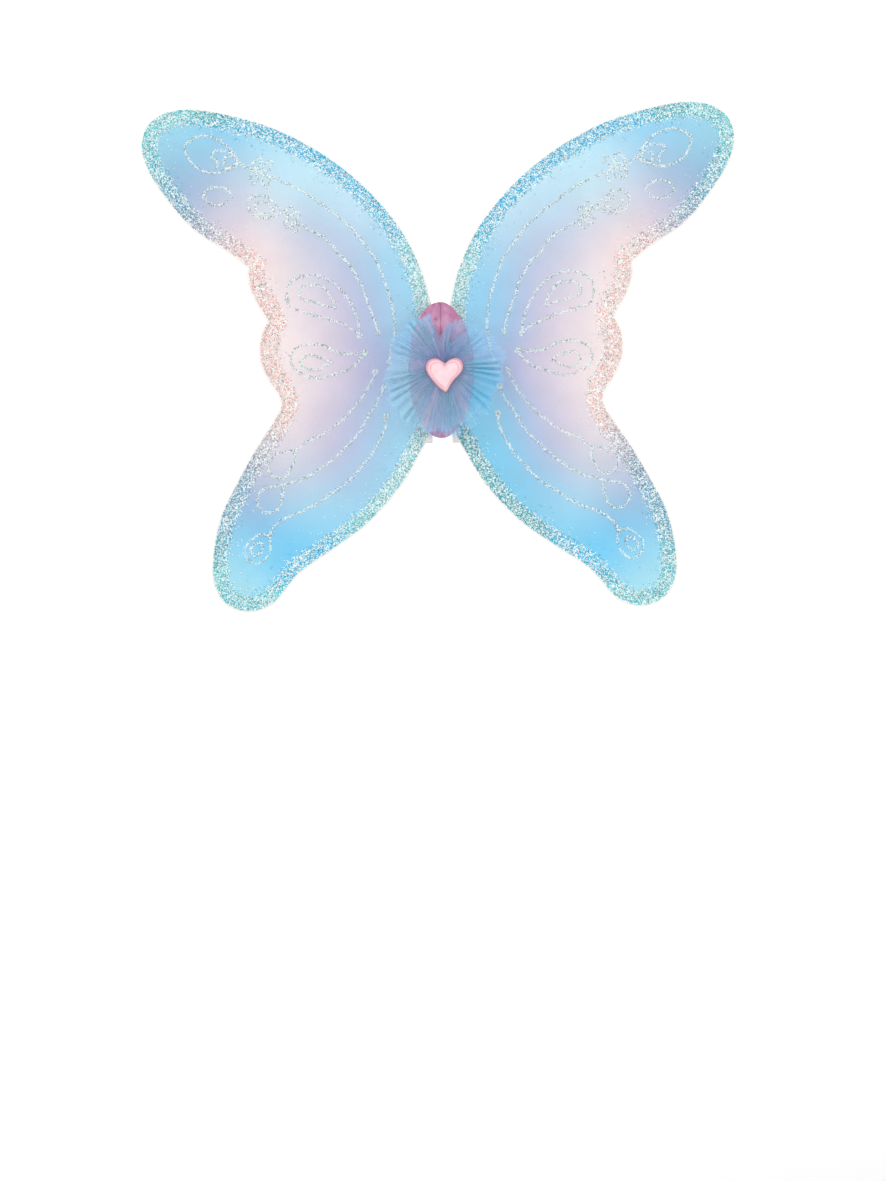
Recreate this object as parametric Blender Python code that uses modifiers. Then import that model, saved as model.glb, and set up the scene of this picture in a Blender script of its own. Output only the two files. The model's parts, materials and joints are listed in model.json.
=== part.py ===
"""Child's costume fairy wings: two wired fabric wings on a padded oval centre with a tulle rosette.

Units are metres, +Z is up, and the wearer stands at +Y with their back to the part, so the
decorated side faces -Y. The origin is the middle of the pad's flat back face, which rests on the
wearer's back. Left and right are the wearer's own, so the left wing is at -X.
"""
import math

import bmesh
import bpy
from mathutils import Matrix, Vector

MM = 0.001
GAP = 0.3 * MM  # between pieces that touch on the real thing

# Wings
WING_REACH = 283.0 * MM  # from the root wire out to the upper tip
WING_RISE = 261.5 * MM  # from the middle of the pad up to the top edge
WING_DROP = 237.0 * MM  # from the middle of the pad down to the bottom edge
WING_SWEEP_RADIUS = 1200.0 * MM  # each wing curves gently away from the wearer
WING_SWING = math.radians(20.0)  # how far a wing flexes to either side of rest
ROOT_X = 10.0 * MM  # from the middle to the straight wire that a wing turns about
WIRE_RADIUS = 0.9 * MM
CASING_WALL = 0.4 * MM
CASING_ROOM = 0.4 * MM  # between the wire and the casing sewn round it
MEMBRANE_THICK = 0.5 * MM
MEMBRANE_STRIPS = 12  # flat strips that make up the curve of a membrane
JOINER_HALF_LENGTH = 12.0 * MM
JOINER_WALL = 1.0 * MM
WIRE_END_GAP = 0.5 * MM  # between the two wire ends that meet inside the joiner

# Centre pad
BACK_COVER_HALF_WIDTH = 20.0 * MM
BACK_COVER_HALF_HEIGHT = 62.0 * MM
BACK_COVER_THICK = 1.5 * MM
BACK_COVER_CORNER = 12.0 * MM
CORE_HALF_HEIGHT = 54.0 * MM
CORE_TO_TAB = 1.0 * MM
BOARD_HALF_HEIGHT = 58.0 * MM
BOARD_THICK = 2.0 * MM
BOARD_CORNER = 6.0 * MM
CUSHION_HALF_WIDTH = 33.0 * MM
CUSHION_HALF_HEIGHT = 68.0 * MM
CUSHION_BACK_DEPTH = 6.9 * MM
CUSHION_FRONT_DEPTH = 7.3 * MM
CUSHION_COVER_THICK = 0.8 * MM
CUSHION_SEAM = 1.4 * MM  # between the edges of the two covers, where the seam closes them
FILLING_CLEARANCE = 0.9 * MM
SWING_CLEARANCE = 0.6 * MM  # between a fully swung wing and the back cover
BARE_WIRE_INSET = 16.0 * MM  # the bare root wire ends this far inside the cushion's ends

# Ribbon tabs that hold the root wires to the board
TAB_ROOM = 0.6 * MM  # between a root wire and the loop it turns in
TAB_WALL = 1.0 * MM
TAB_LENGTH = 14.0 * MM
TAB_HEIGHT = 30.0 * MM  # from the middle of the pad
TAB_TAIL_THICK = 1.1 * MM
TAB_TO_MEMBRANE = 0.7 * MM
TAB_STEPS = 16  # sides of a loop's round

# Tulle rosette and heart
LOWER_TULLE_RADIUS = 60.0 * MM
LOWER_TULLE_FLARE = 4.5 * MM
UPPER_TULLE_RADIUS = 54.0 * MM
UPPER_TULLE_FLARE = 7.0 * MM
TULLE_THICK = 0.8 * MM
TULLE_EYE_RADIUS = 2.4 * MM
THREAD_RING_RADIUS = 3.2 * MM
THREAD_RADIUS = 0.8 * MM
HEART_WIDTH = 37.0 * MM
HEART_HEIGHT = 34.0 * MM
HEART_BORDER = 1.5 * MM  # the felt backing shows this far outside the patch
HEART_BACKING_THICK = 1.0 * MM
HEART_PATCH_THICK = 1.6 * MM
HEART_DROP = 9.0 * MM  # from the rosette's eye down to the middle of the heart
HEART_X = 3.0 * MM  # the heart and the rosette are sewn on a little to the right
ROSETTE_HEIGHT = 3.0 * MM  # from the middle of the pad up to the rosette's eye
ROSETTE_X = 2.0 * MM

# Elastic arm loops
STRAP_WIDTH = 10.0 * MM
STRAP_THICK = 1.2 * MM
STRAP_AXIS_Y = 2.0 * MM
STRAP_LOOP_DEPTH = 96.0 * MM
STRAP_TAB_LENGTH = 11.0 * MM
STRAP_EDGE_MARGIN = 0.6 * MM

# Worked out from the values above
CASING_RADIUS = WIRE_RADIUS + CASING_ROOM + CASING_WALL
TAB_BORE = WIRE_RADIUS + TAB_ROOM
TAB_RADIUS = TAB_BORE + TAB_WALL
SWING_REACH = (BACK_COVER_HALF_WIDTH - ROOT_X) * math.tan(WING_SWING)
HINGE_Y = -(BACK_COVER_THICK + SWING_REACH + MEMBRANE_THICK / 2 + SWING_CLEARANCE)
BOARD_BACK_Y = HINGE_Y - TAB_RADIUS - GAP
BOARD_FRONT_Y = BOARD_BACK_Y - BOARD_THICK
CUSHION_RIM_Y = BOARD_FRONT_Y - GAP - CUSHION_BACK_DEPTH
LOWER_TULLE_Y = CUSHION_RIM_Y - CUSHION_FRONT_DEPTH - GAP
UPPER_TULLE_Y = LOWER_TULLE_Y - TULLE_THICK - GAP
THREAD_Y = UPPER_TULLE_Y - TULLE_THICK - GAP - THREAD_RADIUS
HEART_BACKING_Y = THREAD_Y - THREAD_RADIUS - GAP
HEART_PATCH_Y = HEART_BACKING_Y - HEART_BACKING_THICK - GAP
BARE_WIRE_HALF = CUSHION_HALF_HEIGHT - BARE_WIRE_INSET
STRAP_X = BACK_COVER_HALF_WIDTH - STRAP_WIDTH / 2
STRAP_START_Z = BACK_COVER_HALF_HEIGHT + STRAP_EDGE_MARGIN

# A wing's edge from the top of its root wire round to the bottom, as four runs that meet at the
# three scallop notches. Each point is (share of the reach, share of the rise, or of the drop where
# it is negative).
UPPER_LOBE = [
    (0.003, 0.254), (0.035, 0.394), (0.112, 0.557), (0.245, 0.723), (0.395, 0.847), (0.559, 0.936),
    (0.734, 0.987), (0.839, 1.0), (0.923, 0.984), (0.979, 0.937), (1.0, 0.864), (0.983, 0.780),
    (0.916, 0.661), (0.823, 0.545), (0.703, 0.460), (0.636, 0.402),
]
UPPER_SCALLOP = [(0.636, 0.402), (0.637, 0.352), (0.622, 0.295), (0.594, 0.239), (0.571, 0.196)]
LOWER_SCALLOP = [
    (0.571, 0.196), (0.594, 0.144), (0.602, 0.091), (0.596, 0.034), (0.573, -0.027), (0.537, -0.092),
    (0.526, -0.137),
]
LOWER_LOBE = [
    (0.526, -0.137), (0.549, -0.192), (0.622, -0.326), (0.692, -0.472), (0.748, -0.614),
    (0.777, -0.793), (0.771, -0.889), (0.734, -0.965), (0.664, -1.0), (0.580, -0.975),
    (0.479, -0.843), (0.357, -0.742), (0.234, -0.635), (0.110, -0.470), (0.033, -0.311),
    (0.012, -0.267),
]
SAMPLES_PER_SPAN = 2

# Finishes: colour, roughness, metallic
FINISHES = {
    "wing_fabric": ((0.62, 0.78, 0.93), 0.6, 0.0),
    "edge_binding": ((0.93, 0.91, 0.86), 0.7, 0.0),
    "frame_wire": ((0.62, 0.62, 0.64), 0.35, 1.0),
    "wire_joiner": ((0.74, 0.72, 0.66), 0.3, 1.0),
    "back_felt": ((0.70, 0.62, 0.78), 0.95, 0.0),
    "core_foam": ((0.90, 0.89, 0.84), 0.9, 0.0),
    "board_plastic": ((0.93, 0.93, 0.92), 0.5, 0.0),
    "velvet": ((0.68, 0.45, 0.64), 0.7, 0.0),
    "filling": ((0.95, 0.95, 0.95), 0.95, 0.0),
    "tulle": ((0.35, 0.65, 0.90), 0.8, 0.0),
    "thread": ((0.85, 0.87, 0.95), 0.7, 0.0),
    "heart_felt": ((0.96, 0.62, 0.70), 0.9, 0.0),
    "heart_satin": ((0.97, 0.75, 0.80), 0.55, 0.0),
    "ribbon": ((0.88, 0.88, 0.92), 0.7, 0.0),
    "elastic": ((0.93, 0.93, 0.92), 0.8, 0.0),
}


# ---------------------------------------------------------------- scene helpers

def clear_scene():
    for item in list(bpy.data.objects):
        bpy.data.objects.remove(item, do_unlink=True)


def make_collection(name):
    collection = bpy.data.collections.new(name)
    bpy.context.scene.collection.children.link(collection)
    return collection


def make_finishes():
    finishes = {}
    for name, (color, roughness, metallic) in FINISHES.items():
        finish = bpy.data.materials.new(name)
        finish.use_nodes = True
        shader = finish.node_tree.nodes["Principled BSDF"]
        shader.inputs["Base Color"].default_value = (*color, 1.0)
        shader.inputs["Roughness"].default_value = roughness
        shader.inputs["Metallic"].default_value = metallic
        finishes[name] = finish
    return finishes


def add_object(name, data, finish, parent=None):
    """Links a mesh or a curve as a named piece of the part."""
    piece = bpy.data.objects.new(name, data)
    data.materials.append(FINISH[finish])
    PART.objects.link(piece)
    piece.parent = parent
    return piece


def add_joint_frame(name, location):
    """An empty on a joint's axis, which the moving pieces hang from."""
    frame = bpy.data.objects.new(name, None)
    frame.location = location
    PART.objects.link(frame)
    return frame


def mesh_from(bm, name, smooth=False):
    mesh = bpy.data.meshes.new(name)
    bm.to_mesh(mesh)
    bm.free()
    if smooth:
        mesh.shade_smooth()
        mesh.set_sharp_from_angle(angle=math.radians(40))
    return mesh


def add_solidify(piece, thickness, offset):
    """Thickens an open surface; offset -1 goes inwards, 0 to both sides and 1 outwards."""
    shell = piece.modifiers.new("shell", "SOLIDIFY")
    shell.thickness = thickness
    shell.offset = offset
    shell.use_even_offset = True


def face_outwards(piece, location):
    """Stands a piece drawn in X and Y upright, with its own +Z towards -Y, away from the wearer."""
    piece.rotation_euler = (math.pi / 2, 0, 0)
    piece.location = location


# ---------------------------------------------------------------- shape helpers

def smooth_run(knots, samples):
    """Points along a centripetal Catmull-Rom curve through the knots, both ends included."""
    first = knots[0] * 2 - knots[1]
    last = knots[-1] * 2 - knots[-2]
    padded = [first, *knots, last]
    points = []
    for a, b, c, d in zip(padded, padded[1:], padded[2:], padded[3:]):
        points += [catmull_rom(a, b, c, d, i / samples) for i in range(samples)]
    return [*points, knots[-1]]


def catmull_rom(a, b, c, d, share):
    """The point this share of the way from b to c."""
    t1 = math.sqrt((b - a).length)
    t2 = t1 + math.sqrt((c - b).length)
    t3 = t2 + math.sqrt((d - c).length)
    t = t1 + (t2 - t1) * share
    ab = a.lerp(b, t / t1)
    bc = b.lerp(c, (t - t1) / (t2 - t1))
    cd = c.lerp(d, (t - t2) / (t3 - t2))
    return ab.lerp(bc, t / t2).lerp(bc.lerp(cd, (t - t1) / (t3 - t1)), share)


def inset(points, distances):
    """Moves each corner of a closed clockwise outline inwards by its own distance."""
    moved = []
    for i, point in enumerate(points):
        before = (point - points[i - 1]).normalized()
        after = (points[(i + 1) % len(points)] - point).normalized()
        normal = Vector((before.y + after.y, -before.x - after.x)).normalized()
        across = normal.dot(Vector((before.y, -before.x)))
        moved.append(point + normal * distances[i] / across)
    return moved


def rounded_rectangle(half_width, half_height, corner, steps=4):
    points = []
    for quarter, (sx, sy) in enumerate([(1, 1), (-1, 1), (-1, -1), (1, -1)]):
        middle = Vector((sx * (half_width - corner), sy * (half_height - corner)))
        for i in range(steps + 1):
            angle = (quarter + i / steps) * math.pi / 2
            points.append(middle + Vector((math.cos(angle), math.sin(angle))) * corner)
    return points


def heart_outline(width, height, count=36):
    """A closed heart with a notch at the top and a point at the bottom, centred on its box."""
    points = []
    for i in range(count):
        t = 2 * math.pi * i / count
        up = 13 * math.cos(t) - 5 * math.cos(2 * t) - 2 * math.cos(3 * t) - math.cos(4 * t)
        points.append(Vector((math.sin(t) ** 3, up)))
    low = min(point.y for point in points)
    high = max(point.y for point in points)
    middle = (low + high) / 2
    return [Vector((p.x * width / 2, (p.y - middle) * height / (high - low))) for p in points]


def circle(radius, steps):
    turns = [2 * math.pi * i / steps for i in range(steps)]
    return [Vector((math.cos(turn), math.sin(turn))) * radius for turn in turns]


def flat_curve(name, *outlines, thickness):
    """A filled flat outline and any holes in it, with its thickness to both sides of its own plane."""
    curve = bpy.data.curves.new(name, "CURVE")
    curve.dimensions = "2D"
    curve.fill_mode = "BOTH"
    curve.extrude = thickness / 2
    for points in outlines:
        spline = curve.splines.new("POLY")
        spline.points.add(len(points) - 1)
        for target, point in zip(spline.points, points):
            target.co = (point.x, point.y, 0, 1)
        spline.use_cyclic_u = True
    return curve


def tube_curve(name, points, radius, caps=True, resolution=1):
    curve = bpy.data.curves.new(name, "CURVE")
    curve.dimensions = "3D"
    curve.bevel_depth = radius
    curve.bevel_resolution = resolution
    curve.use_fill_caps = caps
    spline = curve.splines.new("POLY")
    spline.points.add(len(points) - 1)
    for target, point in zip(spline.points, points):
        target.co = (*point, 1)
    spline.use_smooth = True
    return curve


def plate(name, outline, back_y, thickness, finish, centre=(0.0, 0.0)):
    """A flat piece whose back face, towards the wearer, is at back_y."""
    piece = add_object(name, flat_curve(name, outline, thickness=thickness), finish)
    face_outwards(piece, (centre[0], back_y - thickness / 2, centre[1]))
    return piece


def cube_mesh(bm, low, high):
    """Adds a box between two corners."""
    size = [b - a for a, b in zip(low, high)]
    middle = [(a + b) / 2 for a, b in zip(low, high)]
    matrix = Matrix.Translation(middle) @ Matrix.Diagonal((*size, 1))
    bmesh.ops.create_cube(bm, size=1, matrix=matrix)


# ---------------------------------------------------------------- wings

def wing_depth(reach):
    """How far the wing's surface lies behind its root wire, away from the wearer."""
    return -(reach**2) / (2 * WING_SWEEP_RADIUS)


def wing_edge():
    """The closed outline of a wing in (reach, height): its root wire, then clockwise round its edge."""
    top = Vector((0, BARE_WIRE_HALF))
    bottom = Vector((0, -BARE_WIRE_HALF))
    runs = []
    for run in (UPPER_LOBE, UPPER_SCALLOP, LOWER_SCALLOP, LOWER_LOBE):
        runs.append([Vector((u * WING_REACH, v * (WING_RISE if v > 0 else WING_DROP))) for u, v in run])
    runs[0].insert(0, top)
    runs[-1].append(bottom)
    points = []
    for run in runs:
        points += smooth_run(run, SAMPLES_PER_SPAN)[:-1]
    return [*points, bottom]


def on_wing(side, point):
    return Vector((side * point.x, wing_depth(point.x), point.y))


def membrane_outline(edge):
    """The edge, brought in clear of the casing, and at the root clear of the ribbon tabs."""
    at_edge = CASING_RADIUS + GAP
    at_root = TAB_RADIUS + TAB_TO_MEMBRANE
    distances = [at_root if point.x == 0 else at_edge for point in edge]
    return inset(edge, distances)


def make_membrane(name, side, hinge):
    """A curved sheet, cut to the wing's outline."""
    margin = 10.0 * MM
    width = WING_REACH + margin
    low = -WING_DROP - margin
    high = WING_RISE + margin
    bm = bmesh.new()
    bmesh.ops.create_grid(bm, x_segments=MEMBRANE_STRIPS, y_segments=1, size=1)
    for vertex in bm.verts:
        reach = width * (vertex.co.x + 1) / 2
        height = low + (high - low) * (vertex.co.y + 1) / 2
        vertex.co = on_wing(side, Vector((reach, height)))
    sheet = add_object(name, mesh_from(bm, name), "wing_fabric", hinge)
    add_solidify(sheet, MEMBRANE_THICK, 0)

    outline = [Vector((side * p.x, p.y)) for p in membrane_outline(wing_edge())]
    cutter_depth = 4 * abs(wing_depth(width))
    curve = flat_curve(name + "_outline", outline, thickness=cutter_depth)
    cutter = bpy.data.objects.new(name + "_outline", curve)
    PART.objects.link(cutter)
    cutter.rotation_euler = (math.pi / 2, 0, 0)
    cutter.parent = hinge
    cut = sheet.modifiers.new("outline", "BOOLEAN")
    cut.operation = "INTERSECT"
    cut.object = curve_to_cutter(cutter)


def curve_to_cutter(curve_object):
    """Turns a curve into a hidden mesh that a Boolean can use, in the same place."""
    bpy.context.view_layer.update()
    evaluated = curve_object.evaluated_get(bpy.context.evaluated_depsgraph_get())
    mesh = bpy.data.meshes.new_from_object(evaluated)
    bm = bmesh.new()
    bm.from_mesh(mesh)
    bmesh.ops.remove_doubles(bm, verts=bm.verts, dist=0.01 * MM)
    bm.to_mesh(mesh)
    bm.free()
    cutter = bpy.data.objects.new(curve_object.name + "_cutter", mesh)
    cutter.matrix_world = curve_object.matrix_world
    cutter.hide_render = True
    cutter.display_type = "WIRE"
    CUTTERS.objects.link(cutter)
    bpy.data.objects.remove(curve_object, do_unlink=True)
    return cutter


def make_wing(side, word):
    """One wing, all of it hung from the joint frame on its root wire."""
    hinge = add_joint_frame(f"{word}_wing_joint", (side * ROOT_X, HINGE_Y, 0))
    edge = wing_edge()
    upper_end = Vector((0, WIRE_END_GAP / 2))
    wire_path = [on_wing(side, p) for p in [upper_end, *edge, -upper_end]]
    add_object(f"{word}_wing_wire", tube_curve("wire", wire_path, WIRE_RADIUS), "frame_wire", hinge)

    casing_path = [on_wing(side, p) for p in edge]
    casing_curve = tube_curve("casing", casing_path, CASING_RADIUS, caps=False)
    casing = add_object(f"{word}_edge_casing", casing_curve, "edge_binding", hinge)
    add_solidify(casing, CASING_WALL, -1)

    ends = [Vector((0, 0, JOINER_HALF_LENGTH)), Vector((0, 0, -JOINER_HALF_LENGTH))]
    joiner_radius = WIRE_RADIUS + GAP + JOINER_WALL
    joiner_curve = tube_curve("joiner", ends, joiner_radius, caps=False, resolution=2)
    joiner = add_object(f"{word}_wire_joiner", joiner_curve, "wire_joiner", hinge)
    add_solidify(joiner, JOINER_WALL, -1)
    make_membrane(f"{word}_wing_membrane", side, hinge)


# ---------------------------------------------------------------- centre pad

def make_back():
    outline = rounded_rectangle(BACK_COVER_HALF_WIDTH, BACK_COVER_HALF_HEIGHT, BACK_COVER_CORNER)
    plate("back_cover", outline, 0, BACK_COVER_THICK, "back_felt")

    core_half_width = ROOT_X - TAB_RADIUS - CORE_TO_TAB
    bm = bmesh.new()
    low = (-core_half_width, BOARD_BACK_Y + GAP, -CORE_HALF_HEIGHT)
    high = (core_half_width, -BACK_COVER_THICK - GAP, CORE_HALF_HEIGHT)
    cube_mesh(bm, low, high)
    add_object("centre_core", mesh_from(bm, "centre_core"), "core_foam")

    board_half_width = ROOT_X + TAB_RADIUS + 2 * GAP
    outline = rounded_rectangle(board_half_width, BOARD_HALF_HEIGHT, BOARD_CORNER)
    plate("spine_board", outline, BOARD_BACK_Y, BOARD_THICK, "board_plastic")


def make_root_tab(name, side, height):
    """A ribbon loop round the root wire, whose tail lies flat against the board."""
    tail_top = TAB_TAIL_THICK - TAB_RADIUS
    tail_end = -(TAB_RADIUS + CORE_TO_TAB - GAP)
    start = math.pi + math.asin(-tail_top / TAB_RADIUS)
    turns = [start + (-math.pi / 2 - start) * i / TAB_STEPS for i in range(TAB_STEPS + 1)]
    outline = [Vector((math.cos(turn), math.sin(turn))) * TAB_RADIUS for turn in turns]
    outline += [Vector((tail_end, -TAB_RADIUS)), Vector((tail_end, tail_top))]
    outline = [Vector((side * point.x, point.y)) for point in outline]
    curve = flat_curve(name, outline, circle(TAB_BORE, TAB_STEPS), thickness=TAB_LENGTH)
    tab = add_object(name, curve, "ribbon")
    tab.location = (side * ROOT_X, HINGE_Y, height)


def half_ellipsoid(name, front, finish):
    """One thin cover of the cushion: its dome towards -Y (front) or its dish towards the wearer."""
    bm = bmesh.new()
    bmesh.ops.create_uvsphere(bm, u_segments=24, v_segments=12, radius=1)
    facing = 1 if front else -1
    spare = [v for v in bm.verts if v.co.z * facing < -0.001]
    bmesh.ops.delete(bm, geom=spare, context="VERTS")
    depth = CUSHION_FRONT_DEPTH if front else CUSHION_BACK_DEPTH
    for vertex in bm.verts:
        height = vertex.co.z * (depth - CUSHION_SEAM / 2) + facing * CUSHION_SEAM / 2
        vertex.co = (vertex.co.x * CUSHION_HALF_WIDTH, vertex.co.y * CUSHION_HALF_HEIGHT, height)
    cover = add_object(name, mesh_from(bm, name, smooth=True), finish)
    face_outwards(cover, (0, CUSHION_RIM_Y, 0))
    add_solidify(cover, CUSHION_COVER_THICK, -1)


def make_filling():
    bm = bmesh.new()
    bmesh.ops.create_uvsphere(bm, u_segments=20, v_segments=10, radius=1)
    smaller = CUSHION_COVER_THICK + FILLING_CLEARANCE
    for vertex in bm.verts:
        depth = CUSHION_FRONT_DEPTH if vertex.co.z > 0 else CUSHION_BACK_DEPTH
        vertex.co.x *= CUSHION_HALF_WIDTH - smaller
        vertex.co.y *= CUSHION_HALF_HEIGHT - smaller
        vertex.co.z *= depth - smaller
    filling = add_object("cushion_filling", mesh_from(bm, "cushion_filling", smooth=True), "filling")
    face_outwards(filling, (0, CUSHION_RIM_Y, 0))


def make_tulle(name, radius, flare, back_y):
    """A flared round of gathered tulle, open at the eye where it is stitched down."""
    steps = 4
    bm = bmesh.new()
    profile = []
    for i in range(steps + 1):
        out = TULLE_EYE_RADIUS + (radius - TULLE_EYE_RADIUS) * i / steps
        profile.append(bm.verts.new((out, 0, flare * (out / radius) ** 2)))
    for a, b in zip(profile, profile[1:]):
        bm.edges.new((a, b))
    ruffle = add_object(name, mesh_from(bm, name), "tulle")
    face_outwards(ruffle, (ROSETTE_X, back_y, ROSETTE_HEIGHT))
    turn = ruffle.modifiers.new("turn", "SCREW")
    turn.steps = 32
    turn.render_steps = 32
    turn.use_merge_vertices = True
    turn.merge_threshold = 0.01 * MM
    add_solidify(ruffle, TULLE_THICK, 1)


def make_rosette():
    make_tulle("tulle_rosette_lower", LOWER_TULLE_RADIUS, LOWER_TULLE_FLARE, LOWER_TULLE_Y)
    make_tulle("tulle_rosette_upper", UPPER_TULLE_RADIUS, UPPER_TULLE_FLARE, UPPER_TULLE_Y)
    bpy.ops.mesh.primitive_torus_add(
        major_segments=20, minor_segments=8, major_radius=THREAD_RING_RADIUS, minor_radius=THREAD_RADIUS)
    ring = bpy.context.object
    ring.name = "gather_thread"
    ring.data.materials.append(FINISH["thread"])
    ring.data.shade_smooth()
    for collection in list(ring.users_collection):
        collection.objects.unlink(ring)
    PART.objects.link(ring)
    face_outwards(ring, (ROSETTE_X, THREAD_Y, ROSETTE_HEIGHT))

    centre = (HEART_X, ROSETTE_HEIGHT - HEART_DROP)
    backing = heart_outline(HEART_WIDTH, HEART_HEIGHT)
    plate("heart_backing", backing, HEART_BACKING_Y, HEART_BACKING_THICK, "heart_felt", centre)
    patch = heart_outline(HEART_WIDTH - 2 * HEART_BORDER, HEART_HEIGHT - 2 * HEART_BORDER)
    plate("heart_patch", patch, HEART_PATCH_Y, HEART_PATCH_THICK, "heart_satin", centre)


# ---------------------------------------------------------------- arm loops

def strap_path():
    """The arm loop in (depth, height), from above the back cover forward and down to below it."""
    start = Vector((0, STRAP_START_Z))
    depth = STRAP_LOOP_DEPTH - STRAP_AXIS_Y
    knots = [
        start,
        Vector((0.05 * depth, STRAP_START_Z + 4.5 * MM)),
        Vector((0.26 * depth, STRAP_START_Z + 8.0 * MM)),
        Vector((0.62 * depth, 0.92 * STRAP_START_Z)),
        Vector((0.91 * depth, 0.55 * STRAP_START_Z)),
    ]
    lower = [Vector((p.x, -p.y)) for p in reversed(knots)]
    return smooth_run([*knots, Vector((depth, 0)), *lower], 3)


def make_strap(side, word):
    joint = add_joint_frame(f"{word}_strap_joint", (side * STRAP_X, STRAP_AXIS_Y, 0))
    curve = bpy.data.curves.new(f"{word}_strap", "CURVE")
    curve.dimensions = "2D"
    curve.fill_mode = "NONE"
    curve.extrude = STRAP_WIDTH / 2
    points = strap_path()
    spline = curve.splines.new("POLY")
    spline.points.add(len(points) - 1)
    for target, point in zip(spline.points, points):
        target.co = (point.x, point.y, 0, 1)
    strap = add_object(f"{word}_strap", curve, "elastic", joint)
    strap.rotation_euler = (math.pi / 2, 0, math.pi / 2)  # its own X along +Y and its own Y up
    add_solidify(strap, STRAP_THICK, 0)

    for label, up in (("upper", 1), ("lower", -1)):
        end = up * (STRAP_START_Z - STRAP_THICK / 2 - GAP)
        start = end - up * STRAP_TAB_LENGTH
        low = (side * STRAP_X - STRAP_WIDTH / 2, GAP, min(start, end))
        high = (side * STRAP_X + STRAP_WIDTH / 2, GAP + STRAP_THICK, max(start, end))
        bm = bmesh.new()
        cube_mesh(bm, low, high)
        name = f"{word}_strap_tab_{label}"
        add_object(name, mesh_from(bm, name), "elastic")


# ---------------------------------------------------------------- assembly

clear_scene()
PART = make_collection("fairy_wings")
CUTTERS = make_collection("cutters")
FINISH = make_finishes()

make_back()
half_ellipsoid("cushion_back_cover", False, "velvet")
half_ellipsoid("cushion_front_cover", True, "velvet")
make_filling()
make_rosette()
for SIDE, WORD in ((-1, "left"), (1, "right")):
    make_wing(SIDE, WORD)
    make_root_tab(f"{WORD}_root_tab_upper", SIDE, TAB_HEIGHT)
    make_root_tab(f"{WORD}_root_tab_lower", SIDE, -TAB_HEIGHT)
    make_strap(SIDE, WORD)
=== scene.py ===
"""Finish of a child's costume fairy wings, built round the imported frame.

Units are metres, +Z is up and the wearer stands at +Y, so the decorated side faces -Y.
Left and right are the wearer's own, so the left wing is at -X.
"""
from __future__ import annotations

import json
import logging
import math
from dataclasses import dataclass
from enum import Enum

import bmesh
import bpy
import numpy as np
from mathutils import Matrix, Vector, geometry


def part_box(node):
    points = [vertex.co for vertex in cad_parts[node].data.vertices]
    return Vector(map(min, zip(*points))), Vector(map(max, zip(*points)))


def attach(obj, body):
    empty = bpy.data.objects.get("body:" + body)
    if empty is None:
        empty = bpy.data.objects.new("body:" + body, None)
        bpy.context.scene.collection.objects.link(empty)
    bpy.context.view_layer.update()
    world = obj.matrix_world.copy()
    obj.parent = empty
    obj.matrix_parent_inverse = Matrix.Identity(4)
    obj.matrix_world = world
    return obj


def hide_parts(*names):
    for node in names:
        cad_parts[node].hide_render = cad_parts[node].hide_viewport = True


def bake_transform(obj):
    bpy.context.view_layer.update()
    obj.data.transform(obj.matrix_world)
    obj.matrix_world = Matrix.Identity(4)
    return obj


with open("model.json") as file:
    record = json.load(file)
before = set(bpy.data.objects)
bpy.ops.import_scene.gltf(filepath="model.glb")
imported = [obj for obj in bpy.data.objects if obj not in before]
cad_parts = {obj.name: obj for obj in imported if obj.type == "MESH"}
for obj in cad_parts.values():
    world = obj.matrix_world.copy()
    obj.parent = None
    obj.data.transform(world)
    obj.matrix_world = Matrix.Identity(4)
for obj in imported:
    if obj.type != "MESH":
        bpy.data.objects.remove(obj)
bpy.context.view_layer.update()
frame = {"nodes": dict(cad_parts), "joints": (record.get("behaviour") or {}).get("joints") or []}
LOG = logging.getLogger("fairy_wings")
MM = 0.001


# ------------------------------------------------------------------ shader tools

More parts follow.
